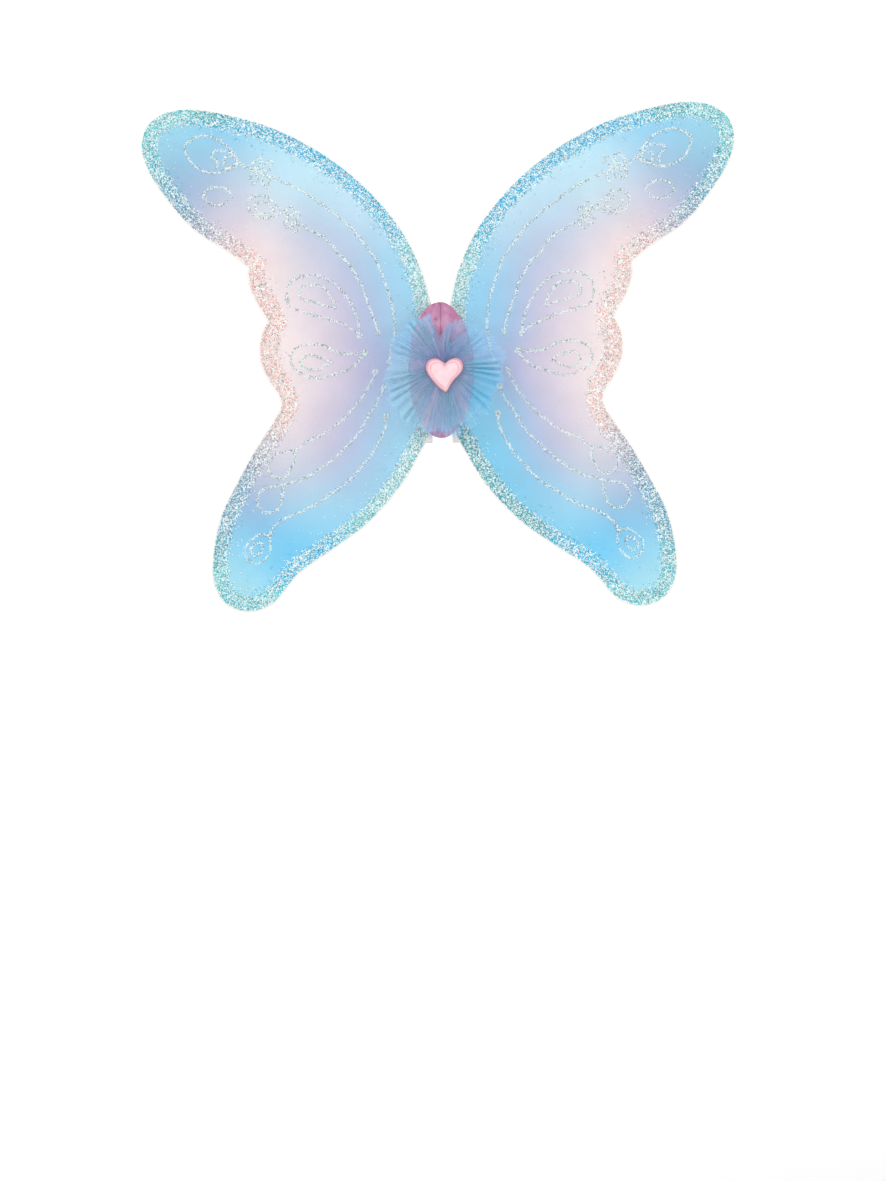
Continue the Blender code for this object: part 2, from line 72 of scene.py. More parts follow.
class Value:
    """A node's output that takes part in arithmetic, each sum adding its own node."""

    def __init__(self, recipe: Recipe, socket: bpy.types.NodeSocket) -> None:
        """Keep the recipe and the socket."""
        self.recipe = recipe
        self.socket = socket

    def _mix(self, operation: str, first: object, second: object) -> Value:
        """Combine two values with the node that suits their kind.

        Args:
            operation: A Math node's operation, such as ADD.
            first: A Value or a number, on the left.
            second: A Value or a number, on the right.

        Returns:
            The result, of the more detailed kind of the two.
        """
        kinds = {item.socket.type for item in (first, second) if isinstance(item, Value)}
        if "RGBA" in kinds:
            pair = [item if isinstance(item, (Value, tuple)) else (item, item, item, 1.0)
                    for item in (first, second)]
            settings = {"data_type": "RGBA", "blend_type": operation}
            return self.recipe.add("ShaderNodeMix", settings, {0: 1.0, 6: pair[0], 7: pair[1]}, 2)
        if "VECTOR" in kinds:
            pair = [item if isinstance(item, (Value, tuple)) else (item, item, item)
                    for item in (first, second)]
            return self.recipe.add("ShaderNodeVectorMath", {"operation": operation}, {0: pair[0], 1: pair[1]})
        return self.recipe.add("ShaderNodeMath", {"operation": operation}, {0: first, 1: second})

    def __add__(self, other: object) -> Value:
        """Add."""
        return self._mix("ADD", self, other)

    def __radd__(self, other: object) -> Value:
        """Add, from the right."""
        return self._mix("ADD", other, self)

    def __mul__(self, other: object) -> Value:
        """Multiply."""
        return self._mix("MULTIPLY", self, other)

    def __rmul__(self, other: object) -> Value:
        """Multiply, from the right."""
        return self._mix("MULTIPLY", other, self)

    def sine(self) -> Value:
        """The sine of a number."""
        return self.recipe.add("ShaderNodeMath", {"operation": "SINE"}, {0: self})

    def spread(self, low: float, high: float, to_low: float = 0.0, to_high: float = 1.0) -> Value:
        """Ease a number from one range to another, and hold it at the ends.

        Args:
            low: Where the result starts to change.
            high: Where it stops.
            to_low: The result up to low.
            to_high: The result from high on.

        Returns:
            The eased number.
        """
        sockets = {0: self, 1: low, 2: high, 3: to_low, 4: to_high}
        return self.recipe.add("ShaderNodeMapRange", {"interpolation_type": "SMOOTHSTEP"}, sockets)

    def blend(self, first: object, second: object) -> Value:
        """The first colour where this is 0, turning to the second where it is 1."""
        return self.recipe.add("ShaderNodeMix", {"data_type": "RGBA"}, {0: self, 6: first, 7: second}, 2)


class Recipe:
    """One material under construction."""

    def __init__(self, name: str) -> None:
        """Start an empty material.

        Args:
            name: The material's name.
        """
        self.material = bpy.data.materials.new(name)
        self.material.use_nodes = True
        self.tree = self.material.node_tree
        self.tree.nodes.clear()

    def add(self, kind: str, settings: dict | None = None, sockets: dict | None = None,
            output: int | str = 0) -> Value:
        """Add any node.

        Args:
            kind: The node's type.
            settings: Its properties, which are set first.
            sockets: Values or links, by the input's name or number.
            output: Which output to hand back.

        Returns:
            That output.
        """
        node = self.tree.nodes.new(kind)
        for key, setting in (settings or {}).items():
            setattr(node, key, setting)
        for key, value in (sockets or {}).items():
            if isinstance(value, Value):
                self.tree.links.new(value.socket, node.inputs[key])
            else:
                node.inputs[key].default_value = value
        return Value(self, node.outputs[output])

    def place(self) -> Value:
        """The point on the piece, in metres."""
        return self.add("ShaderNodeTexCoord", output="Object")

    def axis(self, letter: str) -> Value:
        """One coordinate of the point on the piece."""
        return self.add("ShaderNodeSeparateXYZ", sockets={0: self.place()}, output=letter)

    def painted(self, name: str, output: str = "Color") -> Value:
        """A colour or number painted on the piece's points."""
        return self.add("ShaderNodeAttribute", {"attribute_name": name}, output=output)

    def noise(self, scale: float, detail: float = 3.0, where: Value | None = None,
              stretch: tuple | None = None) -> Value:
        """Cloudy noise from 0 to 1.

        Args:
            scale: Lumps in a metre.
            detail: How many finer layers it has.
            where: The coordinates, or None for the point on the piece.
            stretch: How much denser it is along each axis.

        Returns:
            The noise.
        """
        where = where or self.place()
        if stretch:
            where = where * stretch
        return self.add("ShaderNodeTexNoise", sockets={"Vector": where, "Scale": scale, "Detail": detail})

    def cells(self, scale: float, output: str = "Color", feature: str = "F1") -> Value:
        """Random cells: their own colour, or the distance to their middle or edge."""
        sockets = {"Vector": self.place(), "Scale": scale}
        return self.add("ShaderNodeTexVoronoi", {"feature": feature}, sockets, output)

    def dice(self, scale: float) -> Value:
        """One random number from 0 to 1 in each cell."""
        return self.add("ShaderNodeSeparateColor", sockets={0: self.cells(scale)})

    def threads(self, letter: str, pitch: float) -> Value:
        """Waves across one axis, from -1 to 1, one for each thread."""
        return (self.axis(letter) * (2 * math.pi / pitch)).sine()

    def rows(self, name: str, pitch: float) -> Value:
        """Waves along a painted distance, from -1 to 1, one for each thread."""
        return (self.painted(name, "Fac") * (2 * math.pi / pitch)).sine()

    def relief(self, height: Value, depth: float, strength: float = 1.0) -> Value:
        """A normal bent by a height from 0 to 1.

        Args:
            height: The relief.
            depth: Its real depth in metres.
            strength: How much of it shows.

        Returns:
            The normal.
        """
        sockets = {"Height": height, "Distance": depth, "Strength": strength}
        return self.add("ShaderNodeBump", sockets=sockets)

    def finish(self, **sockets: object) -> bpy.types.Material:
        """End the material in one Principled shader.

        Args:
            sockets: Its inputs, with _ for each space in a name.

        Returns:
            The material.
        """
        named = {key.replace("_", " "): value for key, value in sockets.items()}
        shader = self.add("ShaderNodeBsdfPrincipled", {}, named)
        out = self.tree.nodes.new("ShaderNodeOutputMaterial")
        self.tree.links.new(shader.socket, out.inputs["Surface"])
        return self.material


def linear(red: float, green: float, blue: float) -> tuple[float, float, float, float]:
    """A colour as seen, in 0 to 255, turned into the linear colour that shaders take."""
    parts = [part / 255 for part in (red, green, blue)]
    return (*[part / 12.92 if part <= 0.04045 else ((part + 0.055) / 1.055) ** 2.4 for part in parts], 1.0)


# ------------------------------------------------------------------ finishes

class Dye(Enum):
    """The dyes on the wings, as colours seen against white."""

    ICE = (198, 232, 249)
    PALE_SKY = (172, 226, 248)
    SKY = (148, 214, 244)
    CLEAR_SKY = (108, 202, 246)
    CYAN = (80, 198, 250)
    AQUA = (160, 218, 232)
    MINT = (168, 228, 238)
    TEAL = (96, 160, 200)
    PERIWINKLE = (142, 174, 214)
    LILAC_MIST = (207, 213, 228)
    LILAC = (214, 205, 224)
    LAVENDER = (176, 174, 216)
    DEEP_LAVENDER = (164, 154, 208)
    BLUSH = (243, 229, 232)
    ROSE_MIST = (246, 214, 214)
    TURQUOISE = (16, 174, 186)
    LAGOON = (88, 210, 220)
    PALE_LAGOON = (146, 214, 220)
    BRIGHT_SKY = (56, 194, 238)
    STEEL_TEAL = (104, 176, 206)
    DUSK = (134, 162, 194)
    DUSTY_LILAC = (200, 188, 206)
    SHELL = (250, 204, 198)


@dataclass(frozen=True)
class DyedOrganza:
    """Sheer stretched fabric with a glittered border."""

    cover: float = 0.86  # how much of what is behind it the cloth hides
    thread_pitch: float = 0.9 * MM
    speck: float = 1.15 * MM

    def make(self) -> bpy.types.Material:
        """Mix the dyes, the weave and the border's glitter bed, whose darkest specks are painted shade.

        Returns:
            The material.
        """
        recipe = Recipe("dyed_organza")
        weave = recipe.threads("X", self.thread_pitch) * recipe.threads("Z", self.thread_pitch)
        cloud = recipe.noise(38, 4)
        grain = recipe.noise(900, 2)
        body = recipe.painted("dye") * (0.93, 0.91, 0.87, 1.0) * cloud.spread(0.25, 0.75, 0.955, 1.03)
        body = body * grain.spread(0.3, 0.7, 0.965, 1.025) * weave.spread(-1, 1, 0.985, 1.01)
        trim = recipe.painted("border", "Fac").spread(0.24, 0.80).blend(body, recipe.painted("trim"))
        luck = recipe.dice(1 / self.speck)
        fleck = recipe.dice(1 / (0.72 * self.speck))
        tone = luck.blend(trim * 0.78, trim * 1.14)
        tone = luck.spread(0.74, 0.76).blend(tone, linear(228, 247, 243))
        tone = fleck.spread(0.79, 0.81).blend(tone, linear(253, 254, 253))
        # Painted shade: the darkest cells, at half the trim's colour, stand for shadows between the glitter and
        # glitter that reflects dark.
        tone = fleck.spread(0.14, 0.12).blend(tone, trim * 0.50)
        inside = recipe.painted("border", "Fac") + recipe.noise(420, 2).spread(0.3, 0.7, -0.16, 0.16)
        mask = inside.spread(0.46, 0.56)
        color = mask.blend(body, tone)
        rim = recipe.painted("rim", "Fac") + grain.spread(0.3, 0.7, -0.15, 0.15)
        color = rim.spread(0.45, 0.6).blend(color, linear(250, 247, 240))
        return recipe.finish(
            Base_Color=color, Roughness=mask.spread(0, 1, 0.62, 0.34), Sheen_Weight=0.06, Sheen_Roughness=0.4,
            Alpha=mask.spread(0, 1, self.cover, 0.985),
            Normal=recipe.relief(weave * 0.1 + luck * mask, 0.25 * MM, 0.55))


@dataclass(frozen=True)
class Crumb:
    """Loose glitter of one tone."""

    name: str
    color: tuple[int, int, int]
    shine: float = 0.28
    metal: float = 0.0

    def make(self) -> bpy.types.Material:
        """A hard bright flake.

        Returns:
            The material.
        """
        recipe = Recipe(self.name)
        return recipe.finish(
            Base_Color=linear(*self.color), Roughness=self.shine, Metallic=self.metal, Coat_Weight=0.6,
            Coat_Roughness=0.12, IOR=1.55)


@dataclass(frozen=True)
class WovenTape:
    """Narrow woven stuff, such as the binding, ribbon and elastic."""

    name: str
    color: tuple[int, int, int]
    # The thread's colour in painted shade.
    shade: tuple[int, int, int]
    pitch: float = 0.8 * MM
    shine: float = 0.7

    def make(self) -> bpy.types.Material:
        """Weave two threads of one colour, with painted shade where the threads dip and in cloudy patches.

        Returns:
            The material.
        """
        recipe = Recipe(self.name)
        weave = recipe.rows("run", self.pitch) * recipe.rows("girth", self.pitch * 1.6)
        mottle = recipe.noise(260, 4)
        # Painted shade: the shaded copy of the colour lies where the weave dips and in the mottle's low
        # patches.
        mask = weave.spread(-1, 1, 0, 0.55) + mottle.spread(0.35, 0.75, 0, 0.45)
        return recipe.finish(
            Base_Color=mask.blend(linear(*self.shade), linear(*self.color)),
            Roughness=mottle.spread(0.3, 0.7, self.shine - 0.08, self.shine + 0.1), Sheen_Weight=0.25,
            Sheen_Roughness=0.5, Normal=recipe.relief(weave.spread(-1, 1) + mottle * 0.3, 0.12 * MM, 0.6))


@dataclass(frozen=True)
class CrushedVelvet:
    """Velvet whose pile is pressed to and fro in soft patches."""

    pile: tuple[int, int, int] = (184, 120, 158)
    # bright and deep: the pile's colour as painted sheen and as painted shade.
    bright: tuple[int, int, int] = (206, 152, 182)
    deep: tuple[int, int, int] = (150, 92, 136)

    def make(self) -> bpy.types.Material:
        """Lay light and dark patches of pile over each other, as painted sheen and shade of the pressed pile.

        Returns:
            The material.
        """
        recipe = Recipe("crushed_velvet")
        bend = recipe.place() + recipe.noise(45, 2) * 0.012
        press = recipe.noise(70, 5, bend, (1.2, 1.0, 0.9))
        streak = recipe.noise(210, 4, bend, (1.3, 1.0, 0.9))
        tuft = recipe.noise(2600, 2)
        # Painted sheen and shade: the bright patches stand for pile pressed so that it catches the light, the
        # deep streaks for pile that turns away from it.
        color = press.spread(0.42, 0.68).blend(linear(*self.pile), linear(*self.bright))
        color = streak.spread(0.46, 0.28).blend(color, linear(*self.deep))
        color = color * tuft.spread(0.3, 0.7, 0.88, 1.08)
        height = press * 0.6 + streak * 0.5 + tuft * 0.15
        return recipe.finish(
            Base_Color=color, Roughness=press.spread(0.3, 0.7, 0.78, 0.5), Sheen_Weight=0.7,
            Sheen_Roughness=0.32, Sheen_Tint=linear(242, 218, 236), Normal=recipe.relief(height, 0.9 * MM, 0.6))


@dataclass(frozen=True)
class Net:
    """Fine tulle net, seen as strands and the holes between them."""

    name: str
    strand: float = 0.285
    hole: float = 0.066
    mesh: float = 1.0 * MM

    def make(self) -> bpy.types.Material:
        """Knot the net and let its colour wander.

        Returns:
            The material.
        """
        recipe = Recipe(self.name)
        gap = recipe.cells(1 / self.mesh, "Distance", "DISTANCE_TO_EDGE")
        net = gap.spread(0.05, 0.14, self.strand, self.hole)
        dust = recipe.noise(320, 3)
        # The painted dye holds the net's blues together with the painted highlight and shade of the rosette's
        # folds.
        color = recipe.painted("dye") * dust.spread(0.3, 0.7, 0.9, 1.06)
        alpha = net * recipe.painted("cover", "Fac")
        return recipe.finish(
            Base_Color=color, Roughness=dust.spread(0.3, 0.7, 0.5, 0.7), Sheen_Weight=0.3, Sheen_Roughness=0.4,
            Alpha=alpha, Normal=recipe.relief(net, 0.1 * MM, 0.4))


@dataclass(frozen=True)
class Felt:
    """Pressed fibres."""

    name: str
    color: tuple[int, int, int]
    shade: tuple[int, int, int]

    def make(self) -> bpy.types.Material:
        """Tangle light and dark fibres.

        Returns:
            The material.
        """
        recipe = Recipe(self.name)
        bend = recipe.place() + recipe.noise(300, 2) * 0.004
        fibre = recipe.noise(1500, 5, bend, (1.0, 1.0, 0.45))
        cloud = recipe.noise(120, 3)
        mask = fibre.spread(0.32, 0.68, 0, 0.75) + cloud.spread(0.3, 0.7, 0, 0.3)
        return recipe.finish(
            Base_Color=mask.blend(linear(*self.shade), linear(*self.color)),
            Roughness=cloud.spread(0.3, 0.7, 0.86, 0.98), Sheen_Weight=0.35, Sheen_Roughness=0.6,
            Normal=recipe.relief(fibre + cloud * 0.3, 0.35 * MM, 0.7))


@dataclass(frozen=True)
class Satin:
    """Smooth cloth with a slanting twill and a soft shine."""

    color: tuple[int, int, int] = (250, 202, 210)
    bright: tuple[int, int, int] = (253, 220, 226)

    def make(self) -> bpy.types.Material:
        """Draw the twill and a little unevenness.

        Returns:
            The material.
        """
        recipe = Recipe("heart_satin_cloth")
        slant = ((recipe.axis("X") + recipe.axis("Z") * 0.8) * (2 * math.pi / (0.55 * MM))).sine()
        cloud = recipe.noise(150, 3)
        mask = cloud.spread(0.35, 0.65, 0, 0.7) + slant.spread(-1, 1, 0, 0.25)
        return recipe.finish(
            Base_Color=mask.blend(linear(*self.color), linear(*self.bright)),
            Roughness=cloud.spread(0.3, 0.7, 0.36, 0.48), Sheen_Weight=0.3, Sheen_Roughness=0.3,
            Normal=recipe.relief(slant.spread(-1, 1) * 0.4 + cloud, 0.2 * MM, 0.5))


@dataclass(frozen=True)
class SewingThread:
    """Twisted thread of one colour."""

    name: str
    color: tuple[int, int, int]

    def make(self) -> bpy.types.Material:
        """Twist the strands.

        Returns:
            The material.
        """
        recipe = Recipe(self.name)
        twist = ((recipe.axis("X") + recipe.axis("Z")) * (2 * math.pi / (0.5 * MM))).sine()
        tone = twist.spread(-1, 1, 0.8, 1.05)
        return recipe.finish(
            Base_Color=tone.blend((0.0, 0.0, 0.0, 1.0), linear(*self.color)),
            Roughness=twist.spread(-1, 1, 0.6, 0.45), Sheen_Weight=0.2)


@dataclass(frozen=True)
class HardStuff:
    """Metal, plastic or foam of the inner pieces."""

    name: str
    color: tuple[int, int, int]
    shine: float
    metal: float
    lumps: float
    depth: float

    def make(self) -> bpy.types.Material:
        """Give one plain stuff its own fine surface.

        Returns:
            The material.
        """
        recipe = Recipe(self.name)
        lump = recipe.noise(self.lumps, 3, None, (1.0, 1.0, 0.25 if self.metal else 1.0))
        color = lump.spread(0.3, 0.7, 0.84, 1.0).blend((0.0, 0.0, 0.0, 1.0), linear(*self.color))
        return recipe.finish(
            Base_Color=color, Roughness=lump.spread(0.3, 0.7, self.shine - 0.07, self.shine + 0.07),
            Metallic=self.metal, Normal=recipe.relief(lump, self.depth, 0.5))


# ------------------------------------------------------------------ mesh tools

def smooth_run(knots: list[Vector], samples: int) -> list[Vector]:
    """Points along a centripetal Catmull-Rom curve through the knots, both ends included.

    Args:
        knots: The points it passes through.
        samples: Points made for each span.

    Returns:
        The points.
    """
    padded = [knots[0] * 2 - knots[1], *knots, knots[-1] * 2 - knots[-2]]
    points = []
    for a, b, c, d in zip(padded, padded[1:], padded[2:], padded[3:]):
        t1 = max((b - a).length, 1e-9) ** 0.5
        t2 = t1 + max((c - b).length, 1e-9) ** 0.5
        t3 = t2 + max((d - c).length, 1e-9) ** 0.5
        for i in range(samples):
            t = t1 + (t2 - t1) * i / samples
            ab, bc, cd = a.lerp(b, t / t1), b.lerp(c, (t - t1) / (t2 - t1)), c.lerp(d, (t - t2) / (t3 - t2))
            points.append(ab.lerp(bc, t / t2).lerp(bc.lerp(cd, (t - t1) / (t3 - t1)), (t - t1) / (t2 - t1)))
    return [*points, knots[-1]]


def evenly(points: list[Vector], step: float) -> list[Vector]:
    """The same line, with points about step apart, both ends included.

    Args:
        points: The line.
        step: The spacing wanted.

    Returns:
        The new points.
    """
    line = np.array([tuple(p) for p in points])
    along = np.concatenate([[0], np.cumsum(np.linalg.norm(np.diff(line, axis=0), axis=1))])
    at = np.linspace(0, along[-1], max(2, round(along[-1] / step) + 1))
    return [Vector(p) for p in np.stack([np.interp(at, along, column) for column in line.T], axis=1)]


def build(name: str, points: object, faces: list, materials: list, smooth: bool = True) -> bpy.types.Object:
    """A mesh piece at the origin.

    Args:
        name: The piece's name.
        points: Its points.
        faces: Its faces, as point numbers.
        materials: Its materials.
        smooth: Whether it shades smoothly.

    Returns:
        The piece.
    """
    mesh = bpy.data.meshes.new(name)
    mesh.from_pydata([tuple(p) for p in points], [], faces)
    for material in materials:
        mesh.materials.append(material)
    if smooth:
        mesh.shade_smooth()
    mesh.update()
    piece = bpy.data.objects.new(name, mesh)
    bpy.context.scene.collection.objects.link(piece)
    return piece


def ring_faces(rows: int, count: int, closed: bool = False, capped: bool = True, first: int = 0) -> list:
    """The faces between rings of points.

    Args:
        rows: How many rings there are.
        count: How many points each ring has.
        closed: Whether the last ring joins the first.
        capped: Whether the first and the last ring are filled.
        first: The number of the first ring's first point.

    Returns:
        The faces, as point numbers.
    """
    faces = []
    for i in range(rows if closed else rows - 1):
        here, there = first + i * count, first + (i + 1) % rows * count
        faces += [(here + k, here + (k + 1) % count, there + (k + 1) % count, there + k) for k in range(count)]
    if capped and not closed:
        last = first + (rows - 1) * count
        faces += [tuple(first + k for k in reversed(range(count))), tuple(last + k for k in range(count))]
    return faces


def stack(name: str, points: list[Vector], count: int, materials: list,
          closed: bool = False) -> bpy.types.Object:
    """A closed piece made of rings of points.

    Args:
        name: The piece's name.
        points: The rings' points, one ring after the other.
        count: How many points each ring has.
        materials: Its materials.
        closed: Whether the last ring joins the first.

    Returns:
        The piece, with its faces turned outwards.
    """
    piece = build(name, points, ring_faces(len(points) // count, count, closed), materials)
    bm = bmesh.new()
    bm.from_mesh(piece.data)
    bmesh.ops.recalc_face_normals(bm, faces=bm.faces)
    bm.to_mesh(piece.data)
    bm.free()
    return piece


def hand_over(piece: bpy.types.Object, body: str = "pad") -> None:
    """Give a piece its body, and report it."""
    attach(piece, body)
    LOG.info("%s: %d faces", piece.name, len(piece.data.polygons))


def crease(piece: bpy.types.Object, degrees: float) -> None:
    """Shade a piece with sharp edges where its faces meet at more than an angle."""
    piece.data.set_sharp_from_angle(angle=math.radians(degrees))


def paint(piece: bpy.types.Object, name: str, values: np.ndarray) -> None:
    """Store a number or a colour on each point of a piece.

    Args:
        piece: The piece.
        name: The attribute's name.
        values: One number or one colour of four parts for each point.
    """
    kind, field = ("FLOAT", "value") if values.ndim == 1 else ("FLOAT_COLOR", "color")
    piece.data.attributes.new(name, kind, "POINT").data.foreach_set(field, values.astype(np.float32).ravel())


def sweep(name: str, path: list[Vector], ring: list[tuple[float, float]], side: Vector, material: object,
          closed: bool = False) -> bpy.types.Object:
    """Carry a cross-section along a path.

    Args:
        name: The piece's name.
        path: The points it follows.
        ring: The cross-section's points, (along side, along the other normal).
        side: A direction that the cross-section's first axis stays close to.
        material: The finish.
        closed: Whether the path joins up.

    Returns:
        The piece, closed at its ends.
    """
    points, rows = [], len(path)
    for i, point in enumerate(path):
        before = path[i - 1] if closed or i else path[0]
        after = path[(i + 1) % rows] if closed or i < rows - 1 else path[-1]
        along = (after - before).normalized()
        across = (side - along * side.dot(along)).normalized()
        third = along.cross(across)
        points += [point + across * a + third * b for a, b in ring]
    piece = stack(name, points, len(ring), [material], closed)
    steps = [0.0] + [(b - a).length for a, b in zip(path, path[1:])]
    paint(piece, "run", np.repeat(np.cumsum(steps), len(ring)))
    paint(piece, "girth", np.tile([a for a, _ in ring], rows))
    return piece


def oval(across: float, deep: float, steps: int) -> list[tuple[float, float]]:
    """An oval cross-section of two half-widths."""
    turns = [2 * math.pi * i / steps for i in range(steps)]
    return [(across * math.cos(t), deep * math.sin(t)) for t in turns]


def stitches(name: str, runs: list[tuple[Vector, Vector, Vector]], radius: float, arch: float,
             material: object) -> bpy.types.Object:
    """Short threads, each sunk at its ends.

    Args:
        name: The piece's name.
        runs: For each stitch its start, its end and the way out of the cloth.
        radius: The thread's radius.
        arch: How far a stitch's middle stands out.
        material: The thread.

    Returns:
        One piece that holds them all.
    """
    sides = 6
    # Shares of a stitch's length, of its radius and of its arch.
    shape = [(0.0, 0.3, -0.6), (0.16, 0.85, 0.45), (0.5, 1.0, 1.0), (0.84, 0.85, 0.45), (1.0, 0.3, -0.6)]
    points, faces = [], []
    for start, end, out in runs:
        base = len(points)
        along = (end - start).normalized()
        across = along.cross(out).normalized()
        for share, width, height in shape:
            middle = start.lerp(end, share) + out * (arch * height)
            for k in range(sides):
                turn = 2 * math.pi * k / sides
                points.append(middle + (across * math.cos(turn) + out * math.sin(turn)) * (radius * width))
        faces += ring_faces(len(shape), sides, first=base)
    return build(name, points, faces, [material])


def dyed(points: np.ndarray, spots: list, reach: float, cover: float) -> np.ndarray:
    """Run a set of dye spots into each other.

    Args:
        points: Places as (x, z) in millimetres.
        spots: Each spot's x, z and dye.
        reach: How far a spot runs, in millimetres.
        cover: How much of what is behind it the cloth hides, which the dye makes up for.

    Returns:
        A colour for each place.
    """
    total, weight = np.zeros((len(points), 3)), np.full(len(points), 1e-12)
    for x, z, dye in spots:
        w = np.exp(-((points[:, 0] - x) ** 2 + (points[:, 1] - z) ** 2) / (2 * reach * reach))
        total += w[:, None] * np.array(linear(*dye.value)[:3])
        weight += w
    color = (total / weight[:, None] - (1 - cover)) / cover
    return np.concatenate([np.clip(color, 0.01, 1), np.ones((len(points), 1))], axis=1)


# ------------------------------------------------------------------ wings

@dataclass
class WingShape:
    """The outline of one wing, in distance out from its root wire and height."""

    casing_radius: float = 1.7 * MM
    sweep_radius: float = 1200.0 * MM
    bare_half: float = 52.0 * MM
    step: float = 1.6 * MM
    # Shares of the reach, and of the rise or the drop, from the top of the root wire round to its
    # bottom: the upper lobe, two scallops and the lower lobe.
    runs: tuple = (
        ((0.003, 0.254), (0.035, 0.394), (0.112, 0.557), (0.245, 0.723), (0.395, 0.847), (0.559, 0.936),
         (0.734, 0.987), (0.839, 1.0), (0.923, 0.984), (0.979, 0.937), (1.0, 0.864), (0.983, 0.780),
         (0.916, 0.661), (0.823, 0.545), (0.703, 0.460), (0.636, 0.402)),
        ((0.636, 0.402), (0.637, 0.352), (0.622, 0.295), (0.594, 0.239), (0.571, 0.196)),
        ((0.571, 0.196), (0.594, 0.144), (0.602, 0.091), (0.596, 0.034), (0.573, -0.027), (0.537, -0.092),
         (0.526, -0.137)),
        ((0.526, -0.137), (0.549, -0.192), (0.622, -0.326), (0.692, -0.472), (0.748, -0.614),
         (0.777, -0.793), (0.771, -0.889), (0.734, -0.965), (0.664, -1.0), (0.580, -0.975),
         (0.479, -0.843), (0.357, -0.742), (0.234, -0.635), (0.110, -0.470), (0.033, -0.311),
         (0.012, -0.267)),
    )

    def __post_init__(self) -> None:
        """Take the sizes from the frame and draw the outline."""
        low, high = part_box("right_edge_casing")
        hinge = next(joint for joint in frame["joints"] if joint["name"] == "right_wing_flap")
        self.root_x, self.root_y = hinge["pos_m"][0], hinge["pos_m"][1]
        self.reach = high[0] - self.root_x - self.casing_radius
        self.rise, self.drop = high[2] - self.casing_radius, -low[2] - self.casing_radius
        self.edge = self._edge()
        self.inward = self._inward()
        self.polygon = np.array([tuple(p) for p in self.edge])

    def _edge(self) -> list[Vector]:
        """The wire's line, evenly spaced between the notches."""
        edge = []
        for number, run in enumerate(self.runs):
            knots = [Vector((u * self.reach, v * (self.rise if v > 0 else self.drop))) for u, v in run]
            if number == 0:
                knots.insert(0, Vector((0, self.bare_half)))
            if number == len(self.runs) - 1:
                knots.append(Vector((0, -self.bare_half)))
            edge += evenly(smooth_run(knots, 10), self.step)[:-1]
        return [*edge, Vector((0, -self.bare_half))]

    def _inward(self) -> list[Vector]:
        """The way into the wing at each point of the edge."""
        ways = []
        for i in range(len(self.edge)):
            along = self.edge[min(i + 1, len(self.edge) - 1)] - self.edge[max(i - 1, 0)]
            ways.append(Vector((along.y, -along.x)).normalized())
        return ways

    def on_wing(self, side: int, out: float, height: float, lift: float = 0.0) -> Vector:
        """A point of the wing's surface.

        Args:
            side: -1 for the left wing, 1 for the right.
            out: Distance from the root wire.
            height: Height over the pad's middle.
            lift: How far in front of the surface it is.

        Returns:
            The point.
        """
        bow = out * out / (2 * self.sweep_radius)
        return Vector((side * (self.root_x + out), self.root_y - bow - lift, height))

    def inset_of(self, points: np.ndarray) -> np.ndarray:
        """How far inside the wire's line each place is, in metres, and negative outside."""
        a, b = self.polygon, np.roll(self.polygon, -1, axis=0)
        reach = np.empty(len(points))
        inside = np.zeros(len(points), bool)
        run = b - a
        length = np.maximum((run**2).sum(1), 1e-18)
        batch = 1500  # so many places are tested at once
        for first in range(0, len(points), batch):
            p = points[first:first + batch]
            gap = p[:, None] - a[None]
            share = np.clip((gap * run).sum(2) / length, 0, 1)
            off = gap - share[..., None] * run
            reach[first:first + batch] = np.sqrt((off**2).sum(2).min(1))
            crosses = (a[:, 1] > p[:, None, 1]) != (b[:, 1] > p[:, None, 1])
            safe = np.where(np.abs(run[:, 1]) < 1e-12, 1e-12, run[:, 1])
            at = a[:, 0] + (p[:, None, 1] - a[:, 1]) * run[:, 0] / safe
            inside[first:first + batch] = (crosses & (p[:, None, 0] < at)).sum(1) % 2 == 1
        return np.where(inside, reach, -reach)


